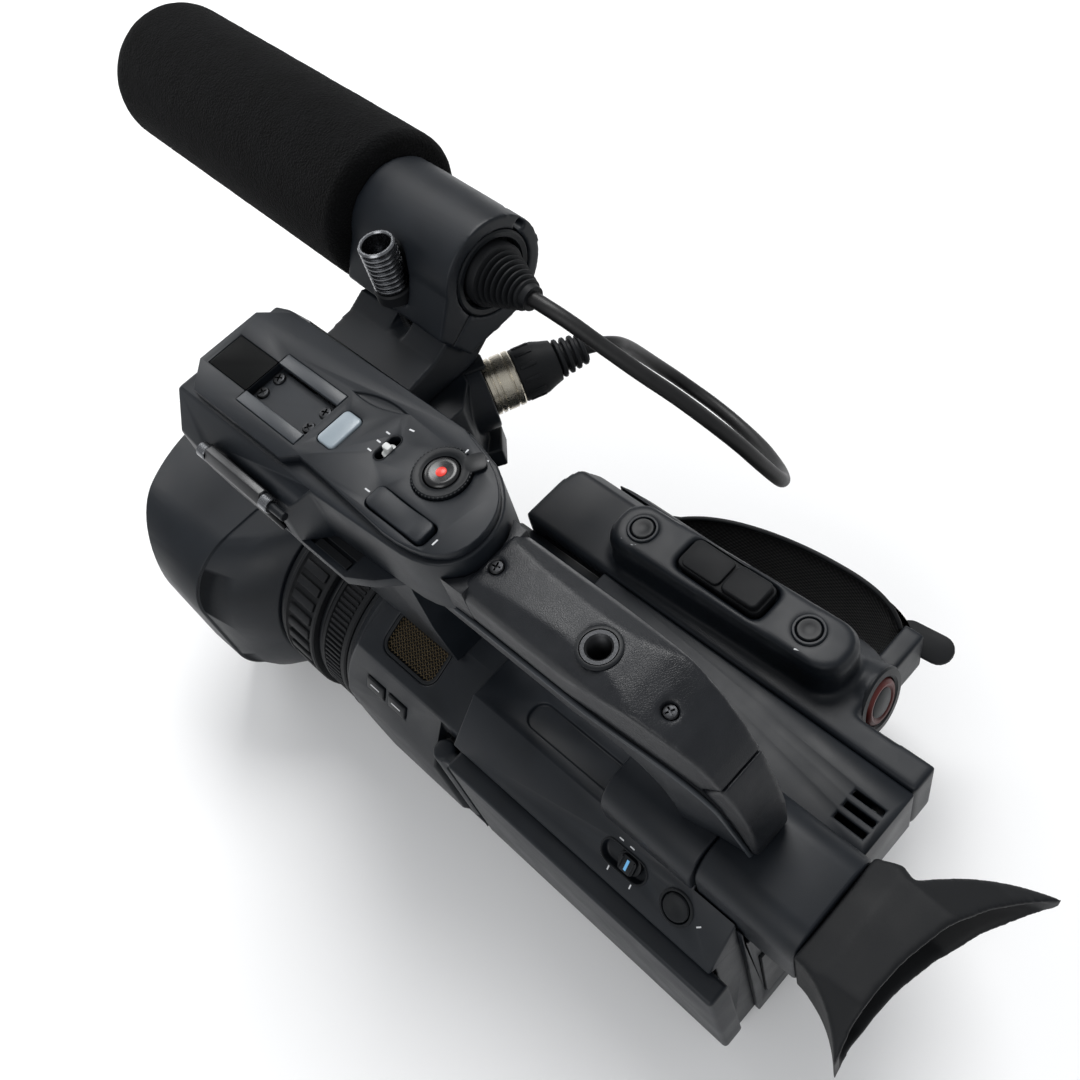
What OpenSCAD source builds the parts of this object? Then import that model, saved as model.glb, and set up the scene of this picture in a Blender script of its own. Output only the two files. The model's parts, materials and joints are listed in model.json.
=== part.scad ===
// Hand-held professional camcorder with a top handle, a shotgun microphone and a folded screen.
// Frame: the lens looks along -Y, +X is the operator's left, +Z is up.
// The origin is the mouth of the tripod socket, in the plane of the base.

/* [Lens] */
// Height of the optical axis above the base
lens_z = 54; // [52:0.5:57]
// Outer radius of the focus ring
focus_r = 39.5; // [38:0.5:41]
// Outer radius of the zoom ring
zoom_r = 37.5; // [37:0.5:39]
// Outer radius of the fixed lens barrel that the rings run on
barrel_r = 33; // [32:0.5:34]

/* [Lens hood] */
// Width of the hood's mouth
hood_w = 112; // [106:1:116]
// Height of the hood's mouth
hood_h = 82; // [78:1:86]
// Front edge of the hood at its middle
hood_front = -154; // [-157:1:-148]
// Radius of the curve that cuts the front edge, seen from above
hood_curve = 66; // [62:1:90]
// Wall thickness of the hood
hood_wall = 2.4; // [2:0.2:3]

/* [Body] */
// Thickness of the case walls
wall = 3; // [2.5:0.5:4]
// Height of the deck under the handle
deck_z = 100; // [98:1:101]
// Rear face of the case
case_rear = 139; // [137:1:142]
// Width of the 45 degree control strip, measured along one leg
strip_leg = 14; // [12:1:14]

/* [Screen] */
// Thickness of the folding screen panel
lcd_t = 7.6; // [7:0.2:9]
// Length of the folding screen panel
lcd_l = 107; // [100:1:110]
// Height of the folding screen panel
lcd_h = 58; // [54:1:58]

/* [Handle] */
// Height of the head's top plate
head_top = 178; // [176:1:180]
// Height of the grained grip's crown
grip_crown = 171.5; // [170:0.5:173]
// Height of the light lip along the handle
lip_z = 155; // [153:0.5:156]
// Clear width between the lips of the accessory shoe
shoe_gap = 12.6; // [12.4:0.1:12.8]

/* [Microphone] */
// Radius of the foam windscreen
foam_r = 24.3; // [22:0.1:25]
// Length of the foam windscreen
foam_l = 136; // [120:1:140]
// Radius of the microphone tube
mic_r = 10.5; // [9.5:0.5:10.5]
// Outer radius of the holder
holder_r = 17.6; // [17:0.2:19]
// Slope of the holder's split line
holder_tilt = 32; // [30:1:34]

/* [Hidden] */
$fn = 64;
charcoal = "#2b2d31";
dark = "#1c1d20";
lip_grey = "#4a4c50";
rubber_black = "#17181a";
silver = "#c8c2b4";
chrome_grey = "#8b8d90";
clear_grey = "#b8c4cc";

base_t = 4;
run_gap = 0.05;      // radial clearance of the turning rings
play = 0.3;          // clearance between parts that move past each other
left_rear = 126;     // rear end of the case beside and below the viewfinder
block_z = 70;        // underside of the block that reaches further back on the right
case_front = 22;     // joint between the front housing and the cases
front_y = -36;       // front face of the front housing
ring_front = -72.6;
strip_z = deck_z - strip_leg;
strip_x = 16.8;      // upper edge of the control strip
left_x = 28.5;       // left face of the case, behind the screen
right_x = -42;       // right face of the case, against the grip
vf_x = 0.5;          // centre of the viewfinder
vf_z = 99;
vf_front = 111.8;
vf_rear = 144;
mic_x = -63.1;       // microphone axis in the plane y = 0
mic_z = 186;
mic_yaw = 2;         // the microphone points slightly outwards and upwards
mic_pitch = 1;
holder_front = -66;
holder_rear = -21.5;
foam_rear = -66.4;
hinge_u = 15.4;      // holder hinge, measured along the split line
grip_right = -77;
grip_top = 110;
focus_spot = [-56, 29];
rec_spot = [-58.8, 91];
rocker_x = -58.2;
anchor_front = -3.5;
anchor_rear = 101.5;
lcd_x0 = 29;         // inner face and lower edge of the folded screen
lcd_z0 = 26;
head_base = 152;
shoe_x = -0.8;
rocker_y = 12.7;
plug_angle = 155;    // heading of the cable plug, seen from above
plug_z = 145;
plug_x = -51.3;
plug_y = -26.1;
hinge_x = 33;        // screen hinge axis
hinge_y = 18;
cover_x = 25.2;      // axis of the audio cover
cover_z = 169.5;
cable_r = 2.3;

// Route of the microphone cable, from the boot on the microphone to the plug
cable_route = [
  [-63.3, -5, 186.1], [-63.4, 1, 185.6], [-64.4, 8, 183], [-66.6, 17, 177], [-69.6, 26.6, 169.6],
  [-73.4, 35.6, 161.4], [-77.2, 43.4, 152.2], [-81.2, 49.6, 142.2], [-85.2, 54, 131.6], [-90, 55.6, 120.8],
  [-96, 52.4, 110.8], [-103, 44.4, 103], [-109.6, 32.6, 97.4], [-113.6, 19.6, 95.2],
  [-114.8, 8.2, 96.6], [-113.8, -1, 100.4], [-111, -6.8, 106.6], [-107, -10, 114.2], [-102.8, -11.2, 122],
  [-98.8, -10.9, 129], [-94.8, -10, 135.2], [-90.6, -9.1, 140.4], [-86, -9.9, 143.8], [-81.4, -12.1, 145]
];

// ---- helpers ----
module block(lo, hi) translate(lo) cube(hi - lo);
module along_y(y0, y1) translate([0, y1, 0]) rotate([90, 0, 0]) linear_extrude(y1 - y0) children();
module along_x(x0, x1) translate([x0, 0, 0]) rotate([90, 0, 90]) linear_extrude(x1 - x0) children();
module up(z0, z1) translate([0, 0, z0]) linear_extrude(z1 - z0) children();
module round_rect(w, h, r) {
  square([w - 2 * r, h], center = true);
  square([w, h - 2 * r], center = true);
  for (sx = [-1, 1], sy = [-1, 1])
    translate([sx * (w / 2 - r), sy * (h / 2 - r)]) circle(r);
}
module on_lens() translate([0, 0, lens_z]) rotate([-90, 0, 0]) children();
module mic_frame() translate([mic_x, 0, mic_z]) rotate([-mic_pitch, 0, -mic_yaw]) children();
module on_mic() mic_frame() rotate([-90, 0, 0]) children();
module on_plug() translate([plug_x, plug_y, plug_z]) rotate([0, 90, plug_angle]) children();
module on_strip(y) translate([strip_x + strip_leg / 2, y, deck_z - strip_leg / 2])
  rotate([0, 45, 0]) children();
module turned(y0, y1, r) translate([0, 0, y0]) cylinder(h = y1 - y0, r = r);
function curve(a, b, c, n = 8) =
  [for (i = [0:n]) let (t = i / n) (1 - t) * (1 - t) * a + 2 * t * (1 - t) * b + t * t * c];

// ---- lens ----
module lens_barrel() color(dark) on_lens() difference() {
  union() {
    turned(-75, front_y + 8, barrel_r);
    turned(-75, ring_front, focus_r - 1);
    turned(-54.4, -52.4, focus_r - 2.5);
    turned(-38.2, front_y - 0.1, zoom_r - 0.5);
  }
  turned(-77, front_y + 20, barrel_r - 4);
}

module front_lens() color("#22303a") on_lens() {
  intersection() {
    translate([0, 0, -6]) sphere(r = 66);
    turned(-72, -64, barrel_r - 4);
  }
  turned(-50, -44, barrel_r - 4);
}

module lens_ring(y0, y1, r, ribs) on_lens() difference() {
  turned(y0, y1, r);
  turned(y0 - 1, y1 + 1, barrel_r + run_gap);
  for (i = [0:ribs - 1]) rotate([0, 0, i * 360 / ribs])
    translate([r + 0.6, 0, y0 + 2]) cylinder(h = y1 - y0 - 4, r = 1.2, $fn = 16);
}
module focus_ring() color(rubber_black) lens_ring(ring_front + 0.3, -54.7, focus_r, 36);
module zoom_ring() color(rubber_black) lens_ring(-52.1, -38.5, zoom_r, 48);

module hood_section(y, w, h, r) translate([0, y, lens_z - 1]) rotate([90, 0, 0])
  linear_extrude(0.4) round_rect(w, h, r);
module hood_shape(inset) {
  hull() {
    hood_section(hood_front + 0.5, hood_w - inset, hood_h - inset, 22 - inset / 2);
    hood_section(-100, hood_w - 3 - inset, hood_h - 2 - inset, 24 - inset / 2);
  }
  hull() {
    hood_section(-99.6, hood_w - 5 - inset, hood_h - 3 - inset, 24 - inset / 2);
    hood_section(-88, hood_w - 12 - inset, hood_h - 3 - inset, 32 - inset / 2);
    hood_section(-76, 2 * focus_r - inset, 2 * focus_r - inset, focus_r - inset / 2 - 0.1);
  }
}
module lens_hood() color(charcoal) intersection() {
  difference() {
    hood_shape(0);
    hood_shape(2 * hood_wall);
    on_lens() turned(-84, -70, 34);
  }
  // the front edge is an arc seen from above, and leans back towards the bottom
  translate([0, hood_front + hood_curve, lens_z + hood_h / 2]) rotate([7, 0, 0])
    translate([0, 0, -100]) cylinder(h = 140, r = hood_curve, $fn = 96);
}

// ---- case ----
body_outline = [
  [right_x, base_t], [left_x, base_t], [left_x, strip_z - 1.5], [strip_x + strip_leg, strip_z],
  [strip_x, deck_z], [-18, deck_z], [-18, deck_z - 5], [right_x, deck_z - 5]
];
cavity_outline = [
  [right_x + wall, base_t + wall], [left_x - wall, base_t + wall], [left_x - wall, strip_z - 4],
  [15, deck_z - 7.5], [right_x + wall, deck_z - 7.5]
];
module base_plate() color(dark) difference() {
  up(0, base_t) translate([-6, 45]) round_rect(64, 160, 8);
  translate([0, 0, -1]) cylinder(h = 6, r = 8);
  translate([0, -14, -1]) cylinder(h = 6, r = 2.4);
}
module tripod_insert() color(silver) difference() {
  union() {
    cylinder(h = base_t, r = 8);
    translate([0, 0, base_t]) cylinder(h = 5, r = 6);
  }
  translate([0, 0, -1]) cylinder(h = 9, r = 3.175);
}
module viewfinder_channel() {
  along_y(vf_front - 0.4, case_rear + 3) translate([vf_x, vf_z + 1])
    round_rect(34.6, 34.6, 3);
  along_y(80, vf_front) translate([vf_x, vf_z]) round_rect(27.8, 24.8, 6);
}
module case_halves() difference() {
  union() {
    along_y(case_front, left_rear) polygon(body_outline);
    block([right_x, left_rear - 1, block_z], [-18, case_rear, deck_z - 5]);
  }
  along_y(case_front - 1, 78) polygon(cavity_outline);
  block([right_x + wall, 78, base_t + wall], [15.3, left_rear + 1, 79]);
  block([right_x + wall, left_rear - 2, block_z - 1], [-18 - wall, case_rear - wall, 80]);
  block([right_x + wall, 78, 79], [-20, case_rear - wall, deck_z - 7.5]);
  viewfinder_channel();
  // pocket on the deck beside the handle
  up(deck_z - 1.6, deck_z + 1) translate([8.5, 62]) round_rect(9, 44, 4);
  // control strip: switch slot and button pocket
  on_strip(90) up(-2.6, 2) round_rect(7, 16, 3.4);
  on_strip(109.5) translate([0, 0, -3.2]) cylinder(h = 6, r = 4.5);
  // three vent slots in the rear right block
  for (i = [0:2]) up(deck_z - 9, deck_z) translate([-24 - i * 4.2, 131]) square([2, 10], center = true);
  // step that clears the folded screen
  block([27.9, case_front - 1, 18], [31, left_rear + 1, strip_z - 1.6]);
}
module left_case() color(charcoal) intersection() {
  case_halves();
  block([-5, 0, 0], [60, 160, 130]);
}
module right_case() color(charcoal) intersection() {
  case_halves();
  block([-60, 0, 0], [-5, 160, 130]);
}
front_outline = [
  [-40, base_t], [22, base_t], [33, 14], [37.8, 28], [37.8, 66], [27, 87.5], [7, 96.5],
  [-30, 96.5], [-42, 88], [-42, 6]
];
front_cavity = [
  [-36, 8], [20, 8], [30, 17], [33.8, 29], [33.8, 64], [24, 84], [6, 92.2], [-28, 92.2], [-38, 86], [-38, 10]
];
mesh_tilt = 24.2;    // slope of the facet with the microphone mesh
button_tilt = 63.3;  // slope of the facet with the two buttons
module on_mesh_facet(y) translate([15.6, y, 92.6]) rotate([0, mesh_tilt, 0]) children();
module on_button_facet(y) translate([32.4, y, 76.75]) rotate([0, button_tilt, 0]) children();
module front_housing() color(charcoal) difference() {
  intersection() {
    along_y(front_y, case_front) polygon(front_outline);
    on_lens() rotate_extrude() polygon([
      [0, front_y], [zoom_r, front_y], [41, front_y + 4], [62, front_y + 26], [66, front_y + 34],
      [66, case_front], [0, case_front]
    ]);
  }
  along_y(front_y + 6, case_front + 1) polygon(front_cavity);
  on_lens() turned(front_y - 1, front_y + 7, barrel_r + 0.2);
  translate([0, 0, base_t - 1]) cylinder(h = 7, r = 6.05);
  on_mesh_facet(-9) up(-2, 3) round_rect(17, 26, 5);
  for (y = [-19, -8]) on_button_facet(y) up(-3.2, 2) square([5.6, 9.2], center = true);
  block([27.6, 12.5, 24], [40, case_front + 1, 86.5]);
}
module side_mic_mesh() color("#3a3b3d") on_mesh_facet(-9) up(-1.9, -0.3) round_rect(16.6, 25.6, 4.8);
module side_button(y) color(dark) on_button_facet(y) up(-2.3, 0.7) square([5, 8.6], center = true);
module side_button_front() side_button(-19);
module side_button_rear() side_button(-8);

module bay(grow, y0) block([-14 - grow, y0, 19 - grow], [14 + grow, left_rear + 3, 61 + grow]);
module rear_panel() color(charcoal) difference() {
  union() {
    intersection() {
      along_y(left_rear, left_rear + 2) polygon(body_outline);
      union() {
        block([right_x, 100, 0], [18.3, 160, block_z]);
        block([-17.8, 100, 0], [18.3, 160, deck_z - 5]);
      }
    }
    block([right_x + wall + play, left_rear, block_z - 3],
      [-18 - wall - play, case_rear - wall - play, block_z]);
    bay(1.2, 84);
  }
  bay(play, 86);
  block([-60, left_rear + 2, 0], [60, left_rear + 10, block_z - 3.1]);
  viewfinder_channel();
}
module battery() color(dark) difference() {
  block([-14, 88, 19], [14, left_rear + 3, 61]);
  block([-7, left_rear + 2, 52], [7, left_rear + 4, 56]);
}
module main_board() color("#1f5a3a") {
  block([17, 28, 14], [18.6, 76, 84]);
  block([13, 38, 40], [17, 52, 56]);
  block([14.5, 54, 20], [17, 66, 36]);
}
module sensor_block() color("#2f3b45") {
  block([-12, 14, lens_z - 12], [12, 34, lens_z + 12]);
  block([-15, 34, lens_z - 15], [15, 35.6, lens_z + 15]);
  block([-12, -20, lens_z - 9], [12, 14, lens_z + 9]);
}

// ---- side grip ----
grip_profile = [
  [right_x - 0.1, 5], [-70, 5], [grip_right, 13], [grip_right, 84], [-67, 96], [right_x - 0.1, 96]
];
module grip_plan() polygon(concat(
  [[right_x - 0.1, -15], [-60, -15]], curve([-60, -15], [-76, -13], [grip_right, 10]),
  [[grip_right, 98]], curve([grip_right, 98], [-76, 108], [-64, 112]),
  [[-51, 112.5], [-51.8, case_rear], [right_x - 0.1, case_rear]]
));
module island(inset) translate([-57.3, 62]) rotate([0, 0, 2.3])
  round_rect(20 - 2 * inset, 88 - 2 * inset, 9 - inset);
module on_trigger() translate([-62, 114, 87]) rotate([-78, 0, 6]) children();
module grip_case() color(charcoal) difference() {
  union() {
    intersection() {
      along_y(-16, case_rear) polygon(grip_profile);
      up(0, 120) grip_plan();
    }
    up(90, grip_top - 3) island(0);
    up(grip_top - 3, grip_top) island(1.2);
    on_trigger() translate([0, 0, -16]) cylinder(h = 16, r = 11.5);
    block([-82, anchor_front, 42], [grip_right + 2, anchor_front + 8, 72]);
    block([-93, anchor_rear, 57], [grip_right + 6, anchor_rear + 7, 77]);
  }
  block([-74, -8, 9], [right_x + 1, 88, 90]);
  block([-49, 86, 9], [right_x + 1, case_rear - 4, 90]);
  block([-60, left_rear, 0], [right_x + 1, case_rear + 1, block_z]);
  translate([rocker_x, 61, grip_top - 5]) linear_extrude(8) round_rect(13, 33, 3);
  for (p = [focus_spot, rec_spot]) translate([p[0], p[1], grip_top - 3.2]) cylinder(h = 6, r = 4.05);
  on_trigger() translate([0, 0, -5]) cylinder(h = 8, r = 8.1);
  block([-80.6, anchor_front + 2.2, 41], [-78.4, anchor_front + 5.8, 77]);
  up(57.9, 71) polygon(concat(
    shifted([[-94.6, 100], [-88.6, 106.4]], 2.3), reversed(shifted([[-94.6, 100], [-88.6, 106.4]], -0.4))
  ));
}
module grip_rocker() color(rubber_black) {
  translate([rocker_x, 61, grip_top - 2.8]) linear_extrude(4.6) round_rect(11.6, 31, 2.4);
  translate([rocker_x, 54.2, grip_top + 1.8]) linear_extrude(1.4) round_rect(11, 16, 2.4);
}
module round_button(spot) translate([spot[0], spot[1], grip_top - 2.3]) cylinder(h = 3, r = 3.75);
module focus_button() color(dark) round_button(focus_spot);
module rec_small_button() color(dark) round_button(rec_spot);
module rec_trigger() color("#7a1f1c") on_trigger() translate([0, 0, -3.6]) {
  cylinder(h = 3.6, r = 7.8);
  translate([0, 0, 3.6]) cylinder(h = 0.8, r1 = 6.4, r2 = 5.6);
}
strap_path = concat(
  curve([-81, 12], [-97, 40], [-98.6, 72]), curve([-98.8, 76], [-99.5, 93], [-94.6, 100.4])
);
function shifted(p, d) = [
  for (i = [0:len(p) - 1]) let (t = tangent(p, i)) p[i] + d * [-t[1], t[0]]
];
function reversed(p) = [for (i = [len(p) - 1:-1:0]) p[i]];
module strap_band(path, inner, outer, z0, z1)
  up(z0, z1) polygon(concat(shifted(path, outer), reversed(shifted(path, inner))));
module strap_pad() color(dark) strap_band(strap_path, -3.4, 0, 30, 78);
module strap_webbing() color(rubber_black) {
  strap_band(concat([[-80.4, 4.8]], strap_path, [[-88.6, 106.4]]), 0.15, 1.7, 58.5, 70);
  strap_band(strap_path, 0.15, 1.7, 40, 70);
  difference() {
    translate([-98.7, 105.4, 60]) rotate([0, 12, 6]) up(-1, 1.2) round_rect(10, 20, 4.8);
    strap_band(strap_path, -8, 0.15, 30, 80);
  }
}

// ---- top handle ----
lip_top = concat([[76, lip_z]], curve([76, lip_z], [104, 153], [114, 138]), [[122, 116.9]]);
under = concat(
  [[3, 112], [3, 134]], curve([3, 134], [4, 147], [20, 147]), [[68, 147]],
  curve([68, 147], [98, 147], [101, 115.5])
);
module handle_plan(grow) polygon(concat(
  [[-13.5 - grow, -60], [-13.5 - grow, 72]], curve([-13.5 - grow, 72], [-12, 96], [-10 - grow, 110]),
  [[-8 - grow, 126], [4 + grow, 126]], curve([6 + grow, 110], [9.5, 96], [11 + grow, 72]),
  [[11 + grow, -60]]
));
wing_plan = [[-14, -64], [22.5, -64], [24, -26], [24, -5], [19.5, 3], [8, 15], [-14, 15]];
module handle_lower() color(lip_grey) {
  difference() {
    intersection() {
      along_x(-20, 20) polygon(concat(
        [[-38, 96.5], [8, 96.5]], under, [[111, 115.5], [112.5, 116.9], [122, 116.9]],
        [for (i = [len(lip_top) - 1:-1:0]) lip_top[i]],
        [[36, lip_z], [36, head_base], [-38, head_base]]
      ));
      up(90, 160) handle_plan(0.4);
    }
    block([-4, -30, 96], [4, 0, 140]);
  }
  difference() {
    up(148, head_base) polygon(wing_plan);
    up(147, head_base + 1) polygon([[-20, -38], [13.5, -38], [13.5, 20], [-20, 20]]);
    block([15, -30, 151], [22, -6, 153]);
  }
}
module handle_upper() intersection() {
  along_x(-20, 20) polygon(concat(
    [[35.8, lip_z], [35.8, grip_crown - 1.5]],
    curve([35.8, grip_crown - 1.5], [50, grip_crown], [76, grip_crown]),
    curve([76, grip_crown], [106, grip_crown - 1], [116, 152]),
    curve([116, 152], [125, 138], [123.5, 118]), [[122, 116.9]],
    [for (i = [len(lip_top) - 1:-1:0]) lip_top[i]]
  ));
  up(100, 180) handle_plan(0);
  along_y(30, 130) polygon([
    [-14, 110], [12, 110], [12, 164], [9.4, 168.6], [4, grip_crown], [-6, grip_crown],
    [-11.6, 168.6], [-14, 164]
  ]);
}
module seam_side(front) along_x(-30, 30) polygon(front
  ? [[20, 100], [20, 190], [119, 190], [116, 152], [107, 141], [100, 120]]
  : [[140, 100], [140, 190], [119.1, 190], [116.1, 152], [107.1, 141], [100.1, 120]]);
module handle_grip() color(charcoal) difference() {
  intersection() {
    handle_upper();
    seam_side(true);
  }
  translate([0.8, 76.6, 158]) cylinder(h = 20, r = 5.2);
  for (s = screw_spots) translate([s[0], s[1], s[2] - 3]) cylinder(h = 12, r = 2.2);
}
module handle_end_cap() color(charcoal) intersection() {
  handle_upper();
  seam_side(false);
}
module handle_insert() color(chrome_grey) translate([0.8, 76.6, 0]) difference() {
  translate([0, 0, 158.2]) cylinder(h = grip_crown - 158.2, r = 5);
  translate([0, 0, 160]) cylinder(h = 20, r = 3.175);
}
screw_spots = [[0, 39.6, 170.2], [1.2, 98.5, 165.6]];
shoe_screw_spots = [for (x = [-3.2, 3.2], y = [-55, -34]) [shoe_x + x, y]];
module top_screws() color(chrome_grey) {
  for (s = screw_spots) translate([s[0], s[1], s[2] - 2.6]) cylinder(h = 2.2, r = 2);
  for (s = shoe_screw_spots) translate([s[0], s[1], head_top - 3.5]) cylinder(h = 0.6, r = 2);
}

// ---- head ----
head_plan = concat(
  [[-24.5, -66.5], [-26.5, -71], [-20, -89], [9, -89], [24.6, -77], [25.6, -64], [24.3, -25], [16.4, -17],
    [14.6, 14]],
  curve([14.6, 14], [14, 35.5], [-1, 35.5]), curve([-1, 35.5], [-14, 35.5], [-21, 20]),
  [[-24.5, 6]]
);
plate_plan = concat(
  [[-23, -72], [-16, -82.5], [6.5, -82.5], [15, -74], [15, -31], [11.2, -26.5], [11.6, -16], [13.2, 12]],
  curve([13.2, 12], [13, 34.6], [-1, 34.6]), curve([-1, 34.6], [-14, 34.6], [-19.8, 19]),
  [[-23.2, 6]]
);
module head_case() color(charcoal) difference() {
  intersection() {
    up(head_base, head_top - 3) polygon(head_plan);
    along_y(-90, 40) polygon([
      [-26.5, head_base], [24.8, head_base], [25.6, 165], [16, head_top - 3], [-24, head_top - 3],
      [-26.5, 171]
    ]);
    along_x(-40, 40) polygon([
      [-84, head_base], [-89, 158], [-89, 167], [-82, head_top - 3], [36, head_top - 3], [36, head_base]
    ]);
  }
  up(head_base + 3, head_top) polygon([
    [-21, -64], [-21, -70], [-15, -80], [6, -80], [14, -72], [14, -64]
  ]);
  up(head_base + 3, head_top) polygon([
    [-21, -26], [10.5, -26], [10.5, 12], [4, 31], [-6, 31], [-17, 18], [-21, 8]
  ]);
  block([shoe_x - 10.4, -59.1, head_top - 5], [shoe_x + 10.4, -30.9, head_top]);
  // recess for the audio controls, behind the flip cover
  block([21.8, -59, 153.6], [27, -29, 166.5]);
  for (y = [-51, -38]) translate([17.8, y, 160.5]) rotate([0, 90, 0]) cylinder(h = 6, r = 4.2);
  translate([cover_x, -62, cover_z]) rotate([-90, 0, 0]) cylinder(h = 42, r = 3.2);
}
module head_plate() color(charcoal) difference() {
  up(head_top - 3, head_top) polygon(plate_plan);
  block([shoe_x - 10.4, -59.1, head_top - 4], [shoe_x + 10.4, -30.9, head_top + 1]);
  block([shoe_x - 6.5, -79, head_top - 1.6], [shoe_x + 6.5, -59.4, head_top + 1]);
  up(head_top - 2, head_top + 1) translate([-1.8, -23.6]) round_rect(12.6, 7.6, 1.8);
  up(head_top - 4, head_top + 1) translate([-5.9, -7.2]) round_rect(9.4, 4, 1.95);
  up(head_top - 4, head_top + 1) translate([6.9, rocker_y]) round_rect(7.4, 23.6, 2);
  translate([-9, 12, head_top - 4]) cylinder(h = 6, r = 5.4);
  translate([-9, 12, head_top - 0.8]) cylinder(h = 2, r = 8.6);
  // long lens-shaped dimple beside the shoe
  intersection() {
    translate([-43.2, -26.5, head_top - 0.8]) cylinder(h = 3, r = 30);
    translate([12.6, -16, head_top - 0.8]) cylinder(h = 3, r = 30);
  }
}
module accessory_shoe() color(lip_grey) {
  difference() {
    block([shoe_x - 10.3, -59, head_top - 5], [shoe_x + 10.3, -31, head_top + 0.2]);
    block([shoe_x - 9.3, -60, head_top - 3.5], [shoe_x + 9.3, -30, head_top - 1.4]);
    block([shoe_x - shoe_gap / 2, -60, head_top - 3.5], [shoe_x + shoe_gap / 2, -30, head_top + 1]);
    for (s = shoe_screw_spots) translate([s[0], s[1], head_top - 4.2]) cylinder(h = 2, r = 2.05);
  }
  block([shoe_x - 9.2, -56, head_top - 3.5], [shoe_x - 7.2, -34, head_top - 3.1]);
}
module remote_window() color("#060607")
  block([shoe_x - 6.4, -78.9, head_top - 1.5], [shoe_x + 6.4, -59.5, head_top - 0.3]);
module tally_lamp() color(clear_grey)
  up(head_top - 1.9, head_top + 0.3) translate([-1.8, -23.6]) round_rect(12.2, 7.2, 1.6);
module zoom_rocker() color(rubber_black) difference() {
  up(head_top - 2, head_top + 1.4) translate([6.9, rocker_y]) round_rect(6.6, 22, 1.8);
  translate([0, rocker_y, head_top + 31]) rotate([0, 90, 0]) cylinder(h = 20, r = 30.4, $fn = 96);
}
module handle_rec_button() color(dark) translate([-9, 12, 0]) {
  translate([0, 0, head_top - 2.4]) cylinder(h = 3.2, r = 5.1);
  translate([0, 0, head_top + 0.8]) cylinder(h = 0.8, r1 = 4.9, r2 = 3);
}
module hold_ring() color(dark) translate([-9, 12, 0]) difference() {
  union() {
    translate([0, 0, head_top - 0.5]) cylinder(h = 1.7, r = 8.3);
    up(head_top + 0.3, head_top + 1.2) rotate([0, 0, 145]) translate([9, 0]) round_rect(7, 6, 1.5);
  }
  translate([0, 0, head_top - 2]) cylinder(h = 6, r = 5.4);
}
module speed_switch() color(silver) {
  up(head_top - 2.6, head_top - 1.2) translate([-5.9, -7.2]) round_rect(4.4, 3.2, 1.4);
  up(head_top - 1.2, head_top + 0.5) translate([-5.9, -7.2]) round_rect(2, 2.8, 0.6);
}
module level_dial(y) color(rubber_black) translate([18.4, y, 160.5]) rotate([0, 90, 0])
  cylinder(h = 4.4, r = 3.9);
module level_dial_front() level_dial(-51);
module level_dial_rear() level_dial(-38);
module audio_cover() color(dark) difference() {
  along_y(-57.5, -30.7) polygon([
    [24.2, 154], [25.4, 154], [27, 165], [27.4, 169.5], [25.6, 172.3], [23.2, 171.9], [22.6, 169.5],
    [25.2, 166.2]
  ]);
  translate([cover_x, -70, cover_z]) rotate([-90, 0, 0]) cylinder(h = 60, r = 1.35);
}
module hinge_rod() color(chrome_grey) {
  translate([cover_x, -61.5, cover_z]) rotate([-90, 0, 0]) cylinder(h = 41, r = 1.3);
  for (y = [-61.5, -30.4]) translate([cover_x, y, cover_z]) rotate([-90, 0, 0]) cylinder(h = 3.7, r = 2.4);
}

// ---- connector block, microphone and cable ----
upper_plan = [[-24.6, -60], [-40, -60], [-53, -42], [-44, -22.5], [-36, -16], [-24.6, -16]];
lower_plan = [[-24.6, -60], [-38, -60], [-52.2, -49.5], [-45, -34], [-24.6, -34]];
module on_jack() translate([-48.6, -41.75, 116]) rotate([0, 90, plug_angle]) children();
module xlr_housing() color(charcoal) difference() {
  union() {
    up(128, 158) polygon(upper_plan);
    up(105, 128) polygon(lower_plan);
    up(123, 131) polygon([[-45, -29.4], [-50, -23], [-43, -15.3], [-36, -20], [-36, -34.4], [-45, -34.4]]);
    on_plug() turned(-14, -0.1, 12.4);
    block([-24.6, -58, 140], [-13.6, -40, 148]);
  }
  on_plug() turned(-15, 2, 7.8);
  on_jack() turned(-14, 2, 7.4);
}
module holder_half(upper) intersection() {
  mic_frame() rotate([0, holder_tilt, 0]) along_y(holder_front, holder_rear) {
    difference() {
      union() {
        circle(holder_r);
        if (upper) polygon([[0, 0], [0, holder_r], [6, 16.2], [24, 6], [24, 0]]);
        else polygon([[-6, 0], [-6, -16.1], [4, -19], [24, -9], [24, 0]]);
      }
      circle(mic_r + 0.15);
    }
  }
  mic_frame() rotate([0, holder_tilt, 0])
    translate([-60, -200, upper ? play / 2 : -60 - play / 2]) cube([120, 400, 60]);
}
module on_knob() translate([-44.5, -45, 0]) children();
module hinge_knuckle(y0, y1, r) mic_frame() rotate([0, holder_tilt, 0])
  translate([-hinge_u, y0, 0]) rotate([-90, 0, 0]) cylinder(h = y1 - y0, r = r);
module mic_bracket() color(charcoal) difference() {
  union() {
    holder_half(false);
    hinge_knuckle(holder_front + 6, holder_rear - 6, 2.2);
    // foot that carries the holder on the side of the head
    along_y(-66, -26) polygon([
      [-60, 164], [-50, 158], [-33, 158], [-24.6, 158], [-24.6, 168], [-38, 170], [-44, 173]
    ]);
  }
  translate([-47.9, -48.4, 170]) cube([20, 6.8, 30]);
  on_mic() turned(-28, -10, 13.4);
  on_mic() turned(-80, -10, mic_r + 0.15);
  hinge_knuckle(-54.3, -29.7, 2.6);
  hinge_knuckle(-80, -6, 1.25);
}
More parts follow.
